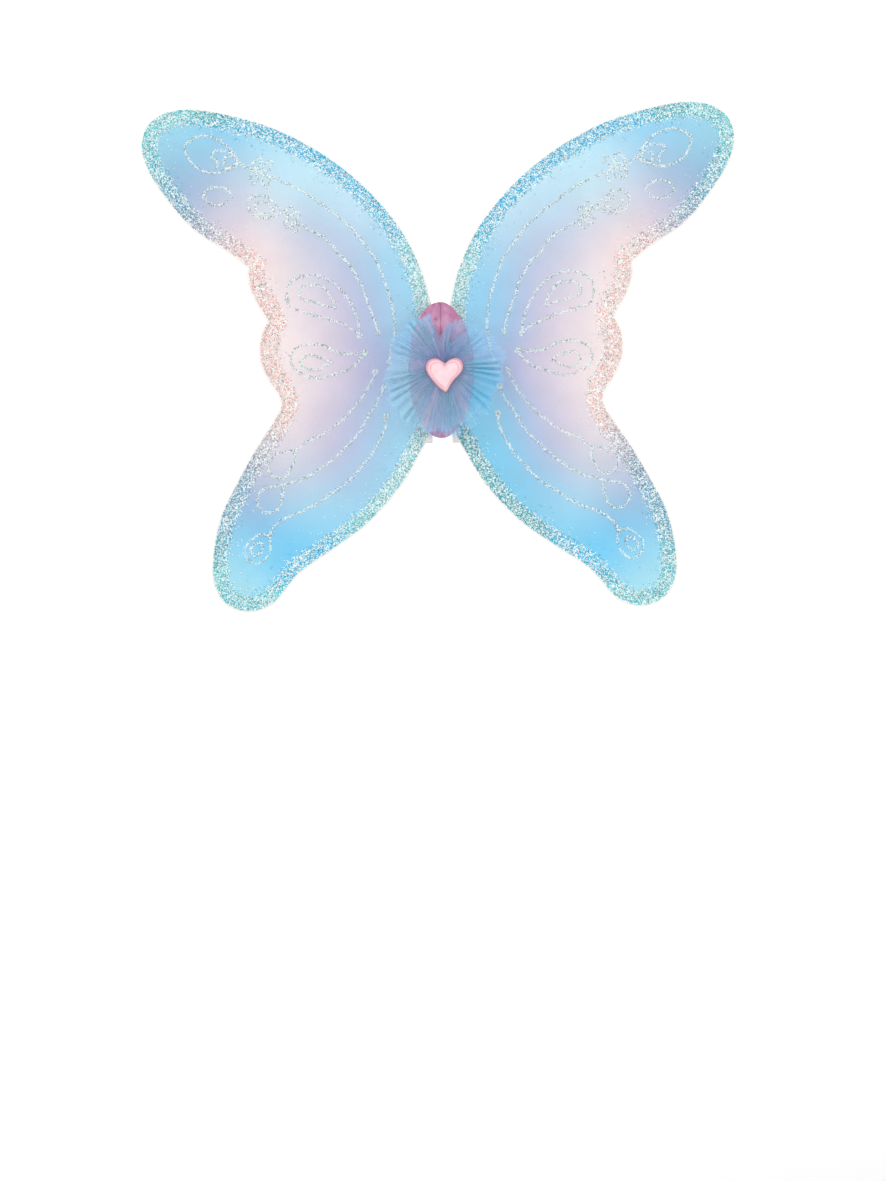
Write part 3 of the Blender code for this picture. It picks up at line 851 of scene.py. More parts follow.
@dataclass
class WingDyes:
    """Where the dyes were brushed on, in millimetres out from the root wire and up."""

    body_reach: float = 25.0
    trim_reach: float = 16.0
    body: tuple = (
        (160, 222, Dye.PALE_SKY), (188, 236, Dye.CLEAR_SKY), (222, 226, Dye.SKY), (258, 224, Dye.SKY),
        (275, 214, Dye.AQUA), (104, 186, Dye.ICE), (128, 200, Dye.PALE_SKY), (144, 192, Dye.ICE),
        (184, 192, Dye.LILAC_MIST), (215, 196, Dye.PERIWINKLE), (240, 186, Dye.PERIWINKLE),
        (262, 188, Dye.TEAL), (250, 170, Dye.PERIWINKLE), (70, 152, Dye.ICE), (96, 158, Dye.PALE_SKY),
        (112, 142, Dye.LAVENDER), (158, 158, Dye.LILAC_MIST), (205, 158, Dye.LILAC), (232, 152, Dye.LILAC),
        (52, 118, Dye.SKY), (84, 118, Dye.LAVENDER), (114, 112, Dye.LILAC_MIST), (150, 112, Dye.BLUSH),
        (185, 118, Dye.ROSE_MIST), (28, 78, Dye.SKY), (26, 40, Dye.SKY), (66, 64, Dye.LAVENDER),
        (105, 62, Dye.LILAC), (145, 52, Dye.BLUSH), (50, 4, Dye.DEEP_LAVENDER), (92, 2, Dye.LILAC),
        (142, 0, Dye.BLUSH), (26, -24, Dye.SKY), (42, -62, Dye.SKY), (78, -58, Dye.LAVENDER),
        (112, -56, Dye.LILAC), (152, -52, Dye.BLUSH), (60, -104, Dye.SKY), (94, -98, Dye.LAVENDER),
        (132, -94, Dye.LILAC_MIST), (168, -96, Dye.LILAC), (92, -138, Dye.SKY), (126, -132, Dye.PALE_SKY),
        (166, -130, Dye.PERIWINKLE), (196, -128, Dye.PERIWINKLE), (120, -164, Dye.CLEAR_SKY),
        (152, -176, Dye.CYAN), (184, -168, Dye.CLEAR_SKY), (212, -172, Dye.SKY), (188, -206, Dye.PALE_SKY),
        (214, -212, Dye.MINT),
    )
    trim: tuple = (
        (270, 236, Dye.LAGOON), (278, 208, Dye.LAGOON), (240, 254, Dye.LAGOON), (214, 252, Dye.TURQUOISE),
        (184, 246, Dye.BRIGHT_SKY), (146, 231, Dye.BRIGHT_SKY), (112, 212, Dye.BRIGHT_SKY),
        (84, 192, Dye.BRIGHT_SKY), (60, 170, Dye.BRIGHT_SKY), (38, 140, Dye.BRIGHT_SKY),
        (22, 112, Dye.PALE_LAGOON), (10, 74, Dye.PALE_LAGOON), (266, 188, Dye.STEEL_TEAL),
        (248, 168, Dye.STEEL_TEAL), (232, 152, Dye.DUSK), (214, 138, Dye.DUSTY_LILAC), (192, 124, Dye.SHELL),
        (172, 92, Dye.SHELL), (158, 62, Dye.SHELL), (162, 30, Dye.SHELL), (160, 4, Dye.SHELL),
        (148, -22, Dye.SHELL), (148, -48, Dye.SHELL), (164, -74, Dye.DUSTY_LILAC), (182, -100, Dye.DUSK),
        (198, -130, Dye.STEEL_TEAL), (208, -160, Dye.STEEL_TEAL), (212, -196, Dye.LAGOON),
        (196, -226, Dye.LAGOON), (170, -226, Dye.LAGOON), (140, -194, Dye.BRIGHT_SKY),
        (110, -173, Dye.BRIGHT_SKY),
    )
    left_trim: tuple = (
        (80, -152, Dye.LAGOON), (52, -126, Dye.PALE_LAGOON), (30, -96, Dye.PALE_LAGOON),
        (12, -66, Dye.PALE_LAGOON),
    )
    right_trim: tuple = (
        (80, -152, Dye.TURQUOISE), (52, -126, Dye.TURQUOISE), (30, -96, Dye.TURQUOISE),
        (12, -66, Dye.TURQUOISE),
    )
    right_body: tuple = (
        (34, -50, Dye.BRIGHT_SKY), (50, -92, Dye.BRIGHT_SKY), (76, -124, Dye.BRIGHT_SKY),
        (36, 60, Dye.CLEAR_SKY),
    )

    def trim_of(self, side: int) -> tuple:
        """The border's dyes on one wing."""
        return self.trim + (self.left_trim if side < 0 else self.right_trim)

    def body_of(self, side: int) -> tuple:
        """The cloth's dyes on one wing."""
        return self.body + (() if side < 0 else self.right_body)

    def border_width(self, place: np.ndarray) -> np.ndarray:
        """How wide the glitter border is near each place, in millimetres."""
        scallops = np.exp(-((place[:, 0] - 165) / 42) ** 2 - ((place[:, 1] - 36) / 78) ** 2)
        inner = np.exp(-((place[:, 0] - 70) / 60) ** 2 - ((place[:, 1] + 150) / 60) ** 2)
        return 14.6 + 4.6 * scallops - 1.6 * inner


@dataclass
class Motif:
    """The drawn lines of loose glitter, in millimetres out from the root wire and up."""

    spacing: float = 0.26
    spread: float = 0.74
    lines: tuple = (
        ((189, 211), (200, 226), (213, 234), (224, 236), (234, 232), (241, 226), (240, 218), (235, 209),
         (226, 202), (216, 199), (205, 200), (194, 206), (187, 209)),
        ((210, 203), (210, 211), (215, 215), (213, 220), (205, 221), (196, 219), (189, 212)),
        ((202, 215), (196, 215), (190, 209), (196, 203), (202, 204), (203, 209), (202, 215)),
        ((187, 208), (176, 202), (165, 198), (152, 193)),
        ((176, 201), (175, 208), (167, 214), (167, 206), (176, 201)),
        ((167, 199), (164, 207), (156, 211), (158, 203), (167, 199)),
        ((174, 200), (178, 193), (173, 188), (170, 194), (172, 200)),
        ((163, 197), (166, 190), (160, 185), (158, 191), (161, 197)),
        ((152, 193), (138, 187), (123, 179), (102, 164), (81, 147), (66, 129), (53, 110), (45, 90), (39, 69),
         (37, 58), (36, 39), (39, 24), (42, 9)),
        ((224, 176), (220, 182), (210, 185), (200, 182), (196, 176), (200, 170), (210, 167), (220, 170),
        (224, 176)),
        ((146, 160), (156, 171), (168, 177), (178, 173), (180, 165), (173, 156), (160, 154), (146, 160)),
        ((154, 162), (163, 169), (172, 168), (172, 161), (164, 158), (154, 162)),
        ((146, 160), (139, 154), (132, 149), (126, 146)),
        ((142, 156), (143, 162), (137, 165), (136, 159), (141, 156)),
        ((136, 152), (136, 158), (130, 160), (130, 154), (135, 151)),
        ((139, 153), (144, 149), (141, 144), (137, 147), (138, 152)),
        ((133, 149), (137, 145), (133, 140), (130, 144), (132, 149)),
        ((126, 146), (113, 139), (100, 130), (92, 119), (81, 108), (73, 95), (67, 82), (62, 67), (59, 59),
         (55, 48), (53, 39)),
        ((71, 36), (73, 52), (78, 65), (86, 78), (97, 89), (110, 96), (120, 97), (133, 94), (141, 87),
        (143, 77),
         (140, 66), (132, 62), (115, 57), (102, 53), (89, 48), (80, 44), (71, 36)),
        ((131, 81), (125, 86), (114, 87), (108, 86), (101, 78), (97, 70), (95, 64), (106, 67), (119, 71),
         (129, 74), (131, 81)),
        ((66, 19), (76, 18), (94, 20), (106, 26), (119, 28), (130, 26), (138, 21), (140, 13), (137, 4),
        (126, -3),
         (113, -6), (100, -3), (85, 2), (74, 9), (66, 19)),
        ((130, 10), (126, 16), (115, 16), (104, 12), (99, 10), (107, 6), (115, 2), (126, 4), (130, 10)),
        ((56, 0), (62, -14), (71, -27), (82, -40), (95, -52), (110, -62), (125, -69), (138, -78), (147, -79),
         (155, -81), (163, -87), (164, -97), (158, -104), (149, -105), (142, -97), (138, -88), (139, -79)),
        ((48, -16), (53, -28), (62, -42), (73, -60), (86, -74), (100, -87), (115, -98), (130, -106),
        (147, -111),
         (156, -113), (167, -115), (174, -121), (175, -131), (168, -139), (158, -138), (152, -130),
         (150, -121),
         (149, -113)),
        ((46, -44), (47, -56), (54, -71), (63, -85), (74, -98), (87, -111), (100, -120), (115, -130),
        (131, -138),
         (146, -144), (159, -153), (163, -162), (163, -174), (168, -185), (177, -190), (185, -186),
         (188, -176),
         (184, -168), (174, -161), (163, -162)),
        ((179, -170), (183, -177), (177, -182), (171, -176), (172, -170), (179, -170)),
    )
    ends: tuple = ((42, 9), (53, 39), (56, 0), (48, -16), (46, -44), (71, 36), (66, 19))


class Tone(Enum):
    """The tones that the loose glitter comes in."""

    PEARL = Crumb("glitter_pearl", (253, 254, 254), 0.22)
    MINT = Crumb("glitter_mint", (208, 246, 234), 0.25)
    SILVER = Crumb("glitter_silver", (150, 164, 176), 0.2, 0.6)
    AQUA = Crumb("glitter_aqua", (120, 216, 226))
    CYAN = Crumb("glitter_cyan", (84, 196, 236))
    TURQUOISE = Crumb("glitter_turquoise", (58, 180, 190))
    TEAL = Crumb("glitter_teal", (66, 152, 184))
    DUSK = Crumb("glitter_dusk", (128, 154, 194))
    LILAC = Crumb("glitter_lilac", (192, 178, 208))
    SALMON = Crumb("glitter_salmon", (248, 160, 150))
    ROSE = Crumb("glitter_rose", (250, 208, 206))


BORDER_MIX = {Tone.PEARL: 0.70, Tone.MINT: 0.24, Tone.SILVER: 0.06}
LINE_MIX = {Tone.PEARL: 0.52, Tone.MINT: 0.24, Tone.SILVER: 0.24}


@dataclass
class Glitter:
    """Loose flakes glued along the border and on the drawn lines."""

    flake: float = 0.72 * MM
    density: float = 0.52  # flakes to the square millimetre of border
    strays: int = 420
    tilt: float = 0.55
    bright: float = 0.56  # the share of the border's flakes that are pale
    lift: tuple = (0.14, 0.38)  # how far a flake stands on the cloth, in millimetres
    wire_gap: float = 0.45 * MM  # no flake is nearer to the wire
    root_gap: float = 4.2  # nor to the root, in millimetres
    # At a line's end: the flakes in its ring, the ring's radius in millimetres and how much that varies.
    ring: tuple = (56, 2.1, 0.45)

    def flakes(self, places: np.ndarray, face: np.ndarray,
               chance: np.random.Generator) -> tuple[np.ndarray, np.ndarray]:
        """Closed chips, each at its own slant.

        Args:
            places: The middle of each flake.
            face: The way that the cloth faces there.
            chance: The random numbers.

        Returns:
            The points and the triangles.
        """
        count = len(places)
        out = face + chance.normal(0, self.tilt, (count, 3)) * 0.6
        out /= np.linalg.norm(out, axis=1)[:, None]
        across = np.cross(out, np.array([0.0, 0.0, 1.0]))
        across /= np.maximum(np.linalg.norm(across, axis=1), 1e-9)[:, None]
        third = np.cross(out, across)
        turn = chance.uniform(0, 2 * math.pi, count)
        size = self.flake * chance.uniform(0.7, 1.3, count)
        corners = []
        for k in range(3):
            angle = turn + 2 * math.pi * k / 3 + chance.normal(0, 0.2, count)
            way = across * np.cos(angle)[:, None] + third * np.sin(angle)[:, None]
            corners.append(places + way * size[:, None])
        corners.append(places + out * (size * 0.5)[:, None])
        points = np.stack(corners, axis=1).reshape(-1, 3)
        base = np.arange(count)[:, None, None] * 4
        faces = base + np.array([[0, 1, 3], [1, 2, 3], [2, 0, 3], [0, 2, 1]])[None]
        return points, faces.reshape(-1, 3)

    def deal(self, mix: dict, count: int, chance: np.random.Generator) -> np.ndarray:
        """Deal out tones by their shares, as their places in the list of tones."""
        tones = list(Tone)
        return chance.choice([tones.index(tone) for tone in mix], count, p=list(mix.values()))

    def scatter(self, shape: WingShape, dyes: WingDyes, motif: Motif,
                chance: np.random.Generator) -> tuple[np.ndarray, int]:
        """Drop flakes in the border, past it and on the drawn lines.

        Args:
            shape: The wing's outline.
            dyes: The dyes, which say how wide the border is.
            motif: The drawn lines.
            chance: The random numbers.

        Returns:
            Their places in millimetres, and how many at the end are on drawn lines.
        """
        edge = shape.polygon / MM
        inward = np.array([tuple(way) for way in shape.inward])
        width = dyes.border_width(edge)
        count = int(self.density * width.mean() * shape.step / MM * len(edge))
        at = chance.integers(0, len(edge) - 1, count)
        share = chance.random(count)[:, None]
        start = edge[at] * (1 - share) + edge[at + 1] * share
        way = inward[at] * (1 - share) + inward[at + 1] * share
        depth = 0.5 + (width[at] + chance.normal(0, 1.5, count) - 0.5) * chance.random(count) ** 0.92
        border = start + way * depth[:, None]
        at = chance.integers(0, len(edge), self.strays)
        stray = edge[at] + inward[at] * (width[at] + np.abs(chance.normal(0, 7, self.strays)))[:, None]
        drawn = []
        for line in motif.lines:
            path = np.array([tuple(p) for p in evenly(smooth_run([Vector(p) for p in line], 8), motif.spacing)])
            drawn.append(path + chance.normal(0, motif.spread, path.shape))
        many, radius, vary = self.ring
        for end in motif.ends:
            turn, far = chance.uniform(0, 2 * math.pi, many), chance.normal(radius, vary, many)
            drawn.append(np.array(end) + np.stack([np.cos(turn) * far, np.sin(turn) * far], axis=1))
        drawn = np.concatenate(drawn)
        return np.concatenate([border, stray, drawn]), len(drawn)

    def tint(self, ground: np.ndarray, on_lines: int, chance: np.random.Generator) -> np.ndarray:
        """Pick a tone for each flake: a pale one, or the one nearest to the dye under it, made darker or
        lighter at random first, so that some flakes take dark tones as painted shade.

        Args:
            ground: The dye under each flake.
            on_lines: How many flakes at the end are on drawn lines.
            chance: The random numbers.

        Returns:
            For each flake its tone's place in the list of tones.
        """
        count = len(ground)
        # Painted shade: the dye is darkened at random down to under half, so that some flakes take dark tones
        # that stand for flakes in shadow or reflecting dark.
        ground = ground * chance.uniform(0.45, 1.3, (count, 1)) * chance.uniform(0.85, 1.15, (count, 3))
        choices = np.array([linear(*tone.value.color)[:3] for tone in Tone])
        slots = np.square(ground[:, None] - choices[None]).sum(2).argmin(1).astype(np.int32)
        pale = chance.random(count) < self.bright
        slots[pale] = self.deal(BORDER_MIX, pale.sum(), chance)
        slots[-on_lines:] = self.deal(LINE_MIX, on_lines, chance)
        return slots

    def make(self, name: str, side: int, shape: WingShape, dyes: WingDyes, motif: Motif,
             finishes: Finishes) -> bpy.types.Object:
        """Glue on a wing's glitter.

        Args:
            name: The piece's name.
            side: -1 for the left wing, 1 for the right.
            shape: The wing's outline.
            dyes: The dyes, which the glitter's tones follow.
            motif: The drawn lines.
            finishes: The materials.

        Returns:
            The piece.
        """
        chance = np.random.default_rng(11 + side)
        flat, on_lines = self.scatter(shape, dyes, motif, chance)
        inset = shape.inset_of(flat * MM)
        keep = (inset > self.wire_gap) & (flat[:, 0] > self.root_gap)
        lift = Fabric.lift_over(inset) + chance.uniform(*self.lift, len(flat)) * MM
        y = shape.root_y - (flat[:, 0] * MM) ** 2 / (2 * shape.sweep_radius) - lift
        places = np.stack([side * (shape.root_x + flat[:, 0] * MM), y, flat[:, 1] * MM], axis=1)
        slope = -side * flat[:, 0] * MM / shape.sweep_radius
        face = np.stack([slope, -np.ones(len(flat)), np.zeros(len(flat))], axis=1)
        ground = dyed(flat, dyes.trim_of(side), dyes.trim_reach, 1.0)[:, :3]
        slots = self.tint(ground, on_lines, chance)
        points, faces = self.flakes(places[keep], face[keep], chance)
        piece = build(name, points.tolist(), faces.tolist(), finishes.glitter, smooth=False)
        piece.data.polygons.foreach_set("material_index", np.repeat(slots[keep], 4).astype(np.int32))
        return piece


@dataclass
class Fabric:
    """The stretched cloth of one wing."""

    grid: float = 3.0 * MM
    over_wire: float = 0.6 * MM  # how far past the wire the cloth wraps
    root_inset: float = 3.2 * MM
    root_half: float = 50.0 * MM
    root_steps: int = 34
    root_reach: float = 30.0 * MM  # past this the edge is no longer part of the root
    rows: tuple = (0.5, 1.3, 2.2, 3.4)  # millimetres in from the wire
    calm: float = 9.0 * MM  # how far in from the wire the pulls start to show
    # Each fan of pulls: its middle, how many folds, how far out, and how deep in millimetres.
    pulls: tuple = ((214, -226, 19, 62, 0.42), (264, 240, 15, 70, 0.34), (6, 60, 11, 60, 0.34),
                    (6, -62, 11, 55, 0.34))

    @staticmethod
    def lift_over(inset: np.ndarray) -> np.ndarray:
        """How far the cloth stands in front of the wing's surface where it wraps the casing."""
        over, meets = 1.74 * MM, 1.35 * MM
        level = math.sqrt(over**2 - meets**2)
        near = np.sqrt(np.maximum(over**2 - np.minimum(inset, meets) ** 2, 0))
        return np.where(inset < meets, near, level * np.exp(-(inset - meets) * meets / level**2))

    def outline(self, shape: WingShape) -> list[Vector]:
        """The cloth's own edge."""
        points = []
        for point, way in zip(shape.edge, shape.inward):
            if abs(point.y) > self.root_half + 2 * MM or point.x > self.root_reach:
                points.append(point - way * self.over_wire)
        for height in np.linspace(-self.root_half, self.root_half, self.root_steps):
            points.append(Vector((self.root_inset, height)))
        return points

    def tension(self, flat: np.ndarray) -> np.ndarray:
        """Faint pulls that fan out from the tips, in metres towards the front."""
        pull = np.zeros(len(flat))
        for x, z, folds, reach, depth in self.pulls:
            gap = flat - np.array([x, z])
            far = np.hypot(gap[:, 0], gap[:, 1])
            angle = np.arctan2(gap[:, 1], gap[:, 0])
            fan = np.sin(folds * angle + 0.7 * np.sin(3 * angle))
            pull += depth * fan * np.exp(-((far - reach) / (0.55 * reach)) ** 2)
        return pull * MM

    def make(self, name: str, side: int, shape: WingShape, dyes: WingDyes, finish: object) -> bpy.types.Object:
        """Cut and dye the cloth.

        Args:
            name: The piece's name.
            side: -1 for the left wing, 1 for the right.
            shape: The wing's outline.
            dyes: The dyes.
            finish: The cloth's material.

        Returns:
            The piece.
        """
        outline = self.outline(shape)
        count = len(outline)
        inner = []
        for row in self.rows:
            inner += [point + way * (row * MM) for point, way in zip(shape.edge, shape.inward)]
        inner = np.array([tuple(p) for p in inner])
        depth = np.repeat(np.array(self.rows) * MM, len(shape.edge))
        inner = inner[np.abs(shape.inset_of(inner) - depth) < 0.15 * MM]
        rows = np.arange(-shape.drop, shape.rise, self.grid * 0.866)
        filled = [(x + (self.grid / 2 if i % 2 else 0), z) for i, z in enumerate(rows)
                  for x in np.arange(0, shape.reach, self.grid)]
        filled = np.array(filled)
        filled = filled[shape.inset_of(filled) > (self.rows[-1] + 1.0) * MM]
        free = np.concatenate([inner, filled])
        clear = (free[:, 0] > self.root_inset + 1.2 * MM) | (np.abs(free[:, 1]) > self.root_half + 2.5 * MM)
        free = free[clear]
        scale = 1 / MM
        flat = [Vector((p.x * scale, p.y * scale)) for p in outline] + [Vector(p * scale) for p in free]
        edges = [(i, (i + 1) % count) for i in range(count)]
        points, _, faces, _, _, _ = geometry.delaunay_2d_cdt(flat, edges, [], 1, 1e-4)
        flat = np.array([tuple(p) for p in points])
        inset = shape.inset_of(flat * MM)
        calm = 1 - np.exp(-np.maximum(inset, 0) / self.calm)
        lift = self.lift_over(inset) + self.tension(flat) * calm
        places = [shape.on_wing(side, x * MM, z * MM, up) for (x, z), up in zip(flat, lift)]
        faces = [tuple(face) if side > 0 else tuple(reversed(face)) for face in faces]
        piece = build(name, places, faces, [finish])
        paint(piece, "dye", dyed(flat, dyes.body_of(side), dyes.body_reach, DyedOrganza.cover))
        paint(piece, "trim", dyed(flat, dyes.trim_of(side), dyes.trim_reach, 1.0))
        paint(piece, "border", np.clip(0.5 + (dyes.border_width(flat) - inset / MM) / 16, 0, 1))
        paint(piece, "rim", np.clip(0.5 - inset / MM, 0, 1))
        return piece


@dataclass
class Binding:
    """The cream casing sewn round the wire, with its hem turned to the back."""

    # A cross-section in millimetres: in from the wire, and to the back.
    section: tuple = (
        (4.6, 0.14), (4.6, 0.40), (3.2, 0.52), (2.1, 0.95), (1.3, 1.32), (0.5, 1.56), (-0.5, 1.54),
        (-1.15, 1.15),
        (-1.55, 0.5), (-1.58, -0.25), (-1.25, -1.0), (-0.6, -1.48), (0.4, -1.5), (1.2, -1.0), (1.8, -0.35),
        (2.5, 0.04), (3.6, 0.12),
    )
    flange: float = 1.4  # where the flat flange starts, in millimetres in from the wire
    stitch_inset: float = 3.5 * MM
    stitch_length: float = 2.3 * MM
    stitch_step: float = 3.4 * MM

    def make(self, name: str, side: int, shape: WingShape, finish: object) -> bpy.types.Object:
        """Sew the casing.

        Args:
            name: The piece's name.
            side: -1 for the left wing, 1 for the right.
            shape: The wing's outline.
            finish: The tape's material.

        Returns:
            The piece.
        """
        points, runs, girths = [], [], []
        rows, run = len(shape.edge), 0.0
        round_it = np.cumsum([0.0] + [math.dist(a, b) for a, b in zip(self.section, self.section[1:])])
        for i, (point, way) in enumerate(zip(shape.edge, shape.inward)):
            run += (point - shape.edge[i - 1]).length if i else 0.0
            taper = min(1.0, 0.25 + min(i, rows - 1 - i) / 3)  # the flange narrows at the two open ends
            for k, (inset, back) in enumerate(self.section):
                reach = inset if inset < self.flange else self.flange + (inset - self.flange) * taper
                place = point + way * (reach * MM)
                points.append(shape.on_wing(side, place.x, place.y, -back * MM))
                runs.append(run)
                girths.append(round_it[k] * MM)
        piece = stack(name, points, len(self.section), [finish])
        paint(piece, "run", np.array(runs))
        paint(piece, "girth", np.array(girths))
        return piece

    def sew(self, name: str, side: int, shape: WingShape, finish: object) -> bpy.types.Object:
        """Run the line of stitches along the hem, on both faces.

        Args:
            name: The piece's name.
            side: -1 for the left wing, 1 for the right.
            shape: The wing's outline.
            finish: The thread.

        Returns:
            The piece.
        """
        line = [point + way * self.stitch_inset for point, way in zip(shape.edge, shape.inward)]
        line = evenly(line[4:-4], self.stitch_step)
        threads = []
        for a, b in zip(line, line[1:]):
            end = a.lerp(b, self.stitch_length / self.stitch_step)
            for lift in (-0.56 * MM, 0.16 * MM):
                out = Vector((0, 1 if lift < 0 else -1, 0))
                threads.append((*[shape.on_wing(side, p.x, p.y, lift) for p in (a, end)], out))
        return stitches(name, threads, 0.17 * MM, 0.14 * MM, finish)


class Wings:
    """Both wings with everything sewn and glued to them."""

    def __init__(self, finishes: Finishes) -> None:
        """Keep the finishes and draw the shared outline."""
        self.finishes = finishes
        self.shape = WingShape()
        self.dyes = WingDyes()

    def make(self) -> None:
        """Build each wing's pieces and give them to the wing's body."""
        fabric, binding, glitter, motif = Fabric(), Binding(), Glitter(), Motif()
        for side, word in ((-1, "left"), (1, "right")):
            tape = binding.make(f"{word}_edge_binding", side, self.shape, self.finishes.binding)
            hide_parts(f"{word}_edge_casing")
            cloth = fabric.make(f"{word}_wing_cloth", side, self.shape, self.dyes, self.finishes.organza)
            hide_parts(f"{word}_wing_membrane")
            thread = binding.sew(f"{word}_hem_stitches", side, self.shape, self.finishes.cream_thread)
            flakes = glitter.make(f"{word}_wing_glitter", side, self.shape, self.dyes, motif, self.finishes)
            for piece, slot in ((tape, "edge_binding"), (cloth, "wing_fabric"), (thread, "thread"),
                                (flakes, "wing_fabric")):
                hand_over(piece, f"{word}_wing")


# ------------------------------------------------------------------ centre pad

@dataclass
class Cushion:
    """The velvet cushion, swollen by its filling and pinched along its seam."""

    start_width: float = 30.5 * MM
    start_height: float = 65.0 * MM
    start_depth: float = 5.2 * MM
    voxel: float = 4.0 * MM
    pressure: float = 4.0
    cap: float = 3.6 * MM
    groove: float = 1.6 * MM
    groove_half: float = 1.7 * MM
    groove_low: float = 4.0 * MM  # how high over the middle the groove starts
    groove_fade: float = 10.0 * MM
    seam_low: float = 9.0 * MM
    seam_step: float = 1.5 * MM
    pinch: float = 0.35  # how much thinner the rim is
    pinch_reach: float = 3.0 * MM
    pucker: float = 0.45 * MM
    pucker_reach: float = 5.0 * MM
    puckers: int = 46
    cord_radius: float = 0.8 * MM
    cord_inset: float = 0.9 * MM
    margin: float = 0.5 * MM  # how far the cushion stays inside its room at the sides
    skin: float = 0.2 * MM  # and at the front and the back

    def __post_init__(self) -> None:
        """Take the room that the cushion may fill."""
        back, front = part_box("cushion_back_cover"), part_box("cushion_front_cover")
        self.half_width, self.half_height = front[1][0], front[1][2]
        self.front_y, self.back_y = front[0][1], back[1][1]
        self.rim_y = (front[1][1] + back[0][1]) / 2

    def rim(self, width: float, height: float, steps: int) -> list[Vector]:
        """The cushion's outline, a little pointed at top and bottom."""
        points = []
        for i in range(steps):
            turn = 2 * math.pi * i / steps
            c, s = math.cos(turn), math.sin(turn)
            points.append(Vector((math.copysign(abs(c) ** 1.12, c) * width, self.rim_y,
                                  math.copysign(abs(s) ** 1.04, s) * height)))
        return points

    def lens(self) -> bpy.types.Object:
        """The cut shape before filling."""
        rim = self.rim(self.start_width, self.start_height, 64)
        points, rings = [], 9
        for i in range(1, 2 * rings):
            slope = math.pi * i / (2 * rings) - math.pi / 2
            share, deep = math.cos(slope), math.sin(slope) * self.start_depth
            points += [Vector((p.x * share, self.rim_y - deep, p.z * share)) for p in rim]
        return stack("velvet_cushion", points, len(rim), [])

    def swell(self, piece: bpy.types.Object) -> None:
        """Fill the cushion by cloth simulation and keep the result.

        Args:
            piece: The cut shape.
        """
        remesh = piece.modifiers.new("remesh", "REMESH")
        remesh.mode, remesh.voxel_size = "VOXEL", self.voxel
        settle(piece)
        rest = corners_of(piece)
        cloth = piece.modifiers.new("cloth", "CLOTH")
        cloth.settings.use_pressure = True
        cloth.settings.uniform_pressure_force = self.pressure
        cloth.settings.effector_weights.gravity = 0
        cloth.settings.tension_stiffness = cloth.settings.compression_stiffness = 6
        cloth.settings.mass = 0.2
        for number in range(1, 21):
            bpy.context.scene.frame_set(number)
        settle(piece)
        bpy.context.scene.frame_set(1)
        moved = corners_of(piece) - rest
        far = np.linalg.norm(moved, axis=1)
        moved *= np.minimum(1, self.cap / np.maximum(far, 1e-9))[:, None]
        piece.data.vertices.foreach_set("co", (rest + moved).astype(np.float32).ravel())
        LOG.info("cushion swelled by up to %.1f mm", far.max() / MM)

    def fitted(self, points: np.ndarray) -> tuple[np.ndarray, np.ndarray]:
        """Bring the swollen cushion to its room, with puckers at the rim and a groove down the front.

        Args:
            points: Its points as filled.

        Returns:
            The new points, and which of them are on the front.
        """
        low, high = points.min(0), points.max(0)
        middle = (low + high) / 2
        points[:, 0] = (points[:, 0] - middle[0]) * (self.half_width - self.margin) * 2 / (high[0] - low[0])
        points[:, 2] = (points[:, 2] - middle[2]) * (self.half_height - self.margin) * 2 / (high[2] - low[2])
        deep = points[:, 1] - middle[1]
        room = np.where(deep < 0, self.rim_y - self.front_y - self.skin, self.back_y - self.rim_y - self.skin)
        deep = deep / ((high[1] - low[1]) / 2) * room
        across, up = points[:, 0] / self.half_width, points[:, 2] / self.half_height
        ratio = np.clip(np.sqrt(across**2 + up**2), 0, 1)
        from_rim = (1 - ratio) * self.half_width
        angle = np.arctan2(up, across)
        wave = np.sin(self.puckers * angle + 2 * np.sin(5 * angle))
        fold = wave * np.exp(-from_rim / self.pucker_reach) * self.pucker
        deep = deep * (1 - self.pinch * np.exp(-from_rim / self.pinch_reach)) + fold * np.sign(deep)
        above = np.clip((points[:, 2] - self.groove_low) / self.groove_fade, 0, 1)
        front = deep < 0
        seam = self.groove * np.exp(-(points[:, 0] / self.groove_half) ** 2) * above
        deep = np.where(front, np.minimum(deep + seam, -self.skin), deep)
        points[:, 1] = self.rim_y + deep
        return points, front

    def make(self, finishes: Finishes) -> None:
        """Build, simulate and dress the cushion, its seam cord and its stitches.

        Args:
            finishes: The materials.
        """
        piece = self.lens()
        self.swell(piece)
        smooth = piece.modifiers.new("smooth", "SUBSURF")
        smooth.levels = smooth.render_levels = 2
        settle(piece)
        points, front = self.fitted(corners_of(piece))
        piece.data.vertices.foreach_set("co", points.astype(np.float32).ravel())
        piece.data.materials.clear()
        piece.data.materials.append(finishes.velvet)
        piece.data.shade_smooth()
        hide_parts("cushion_back_cover", "cushion_front_cover", "cushion_filling")
        rim = self.rim(self.half_width - self.cord_inset, self.half_height - self.cord_inset, 240)
        cord = sweep("cushion_seam_cord", rim, oval(self.cord_radius, self.cord_radius, 10), Vector((0, 1, 0)),
                     finishes.velvet, closed=True)
        seam = self.sew_seam(points[front & (np.abs(points[:, 0]) < 1.2 * MM)], finishes.mauve_thread)
        for part, slot in ((piece, "velvet"), (cord, "velvet"), (seam, "thread")):
            hand_over(part)

    def sew_seam(self, middle: np.ndarray, thread: object) -> bpy.types.Object:
        """Stitch down the centre seam, from the top to the rosette.

        Args:
            middle: The cushion's points along the seam.
            thread: The thread.

        Returns:
            The stitches.
        """
        middle = middle[np.argsort(middle[:, 2])]
        step, runs = self.seam_step, []
        for up in np.arange(self.seam_low, self.half_height - 3 * MM, step):
            ends = [Vector((0, float(np.interp(z, middle[:, 2], middle[:, 1])) - 0.1 * MM, z))
                    for z in (up, up + 0.85 * step)]
            runs.append((*ends, Vector((0, -1, 0))))
        return stitches("cushion_seam_stitches", runs, 0.26 * MM, 0.12 * MM, thread)


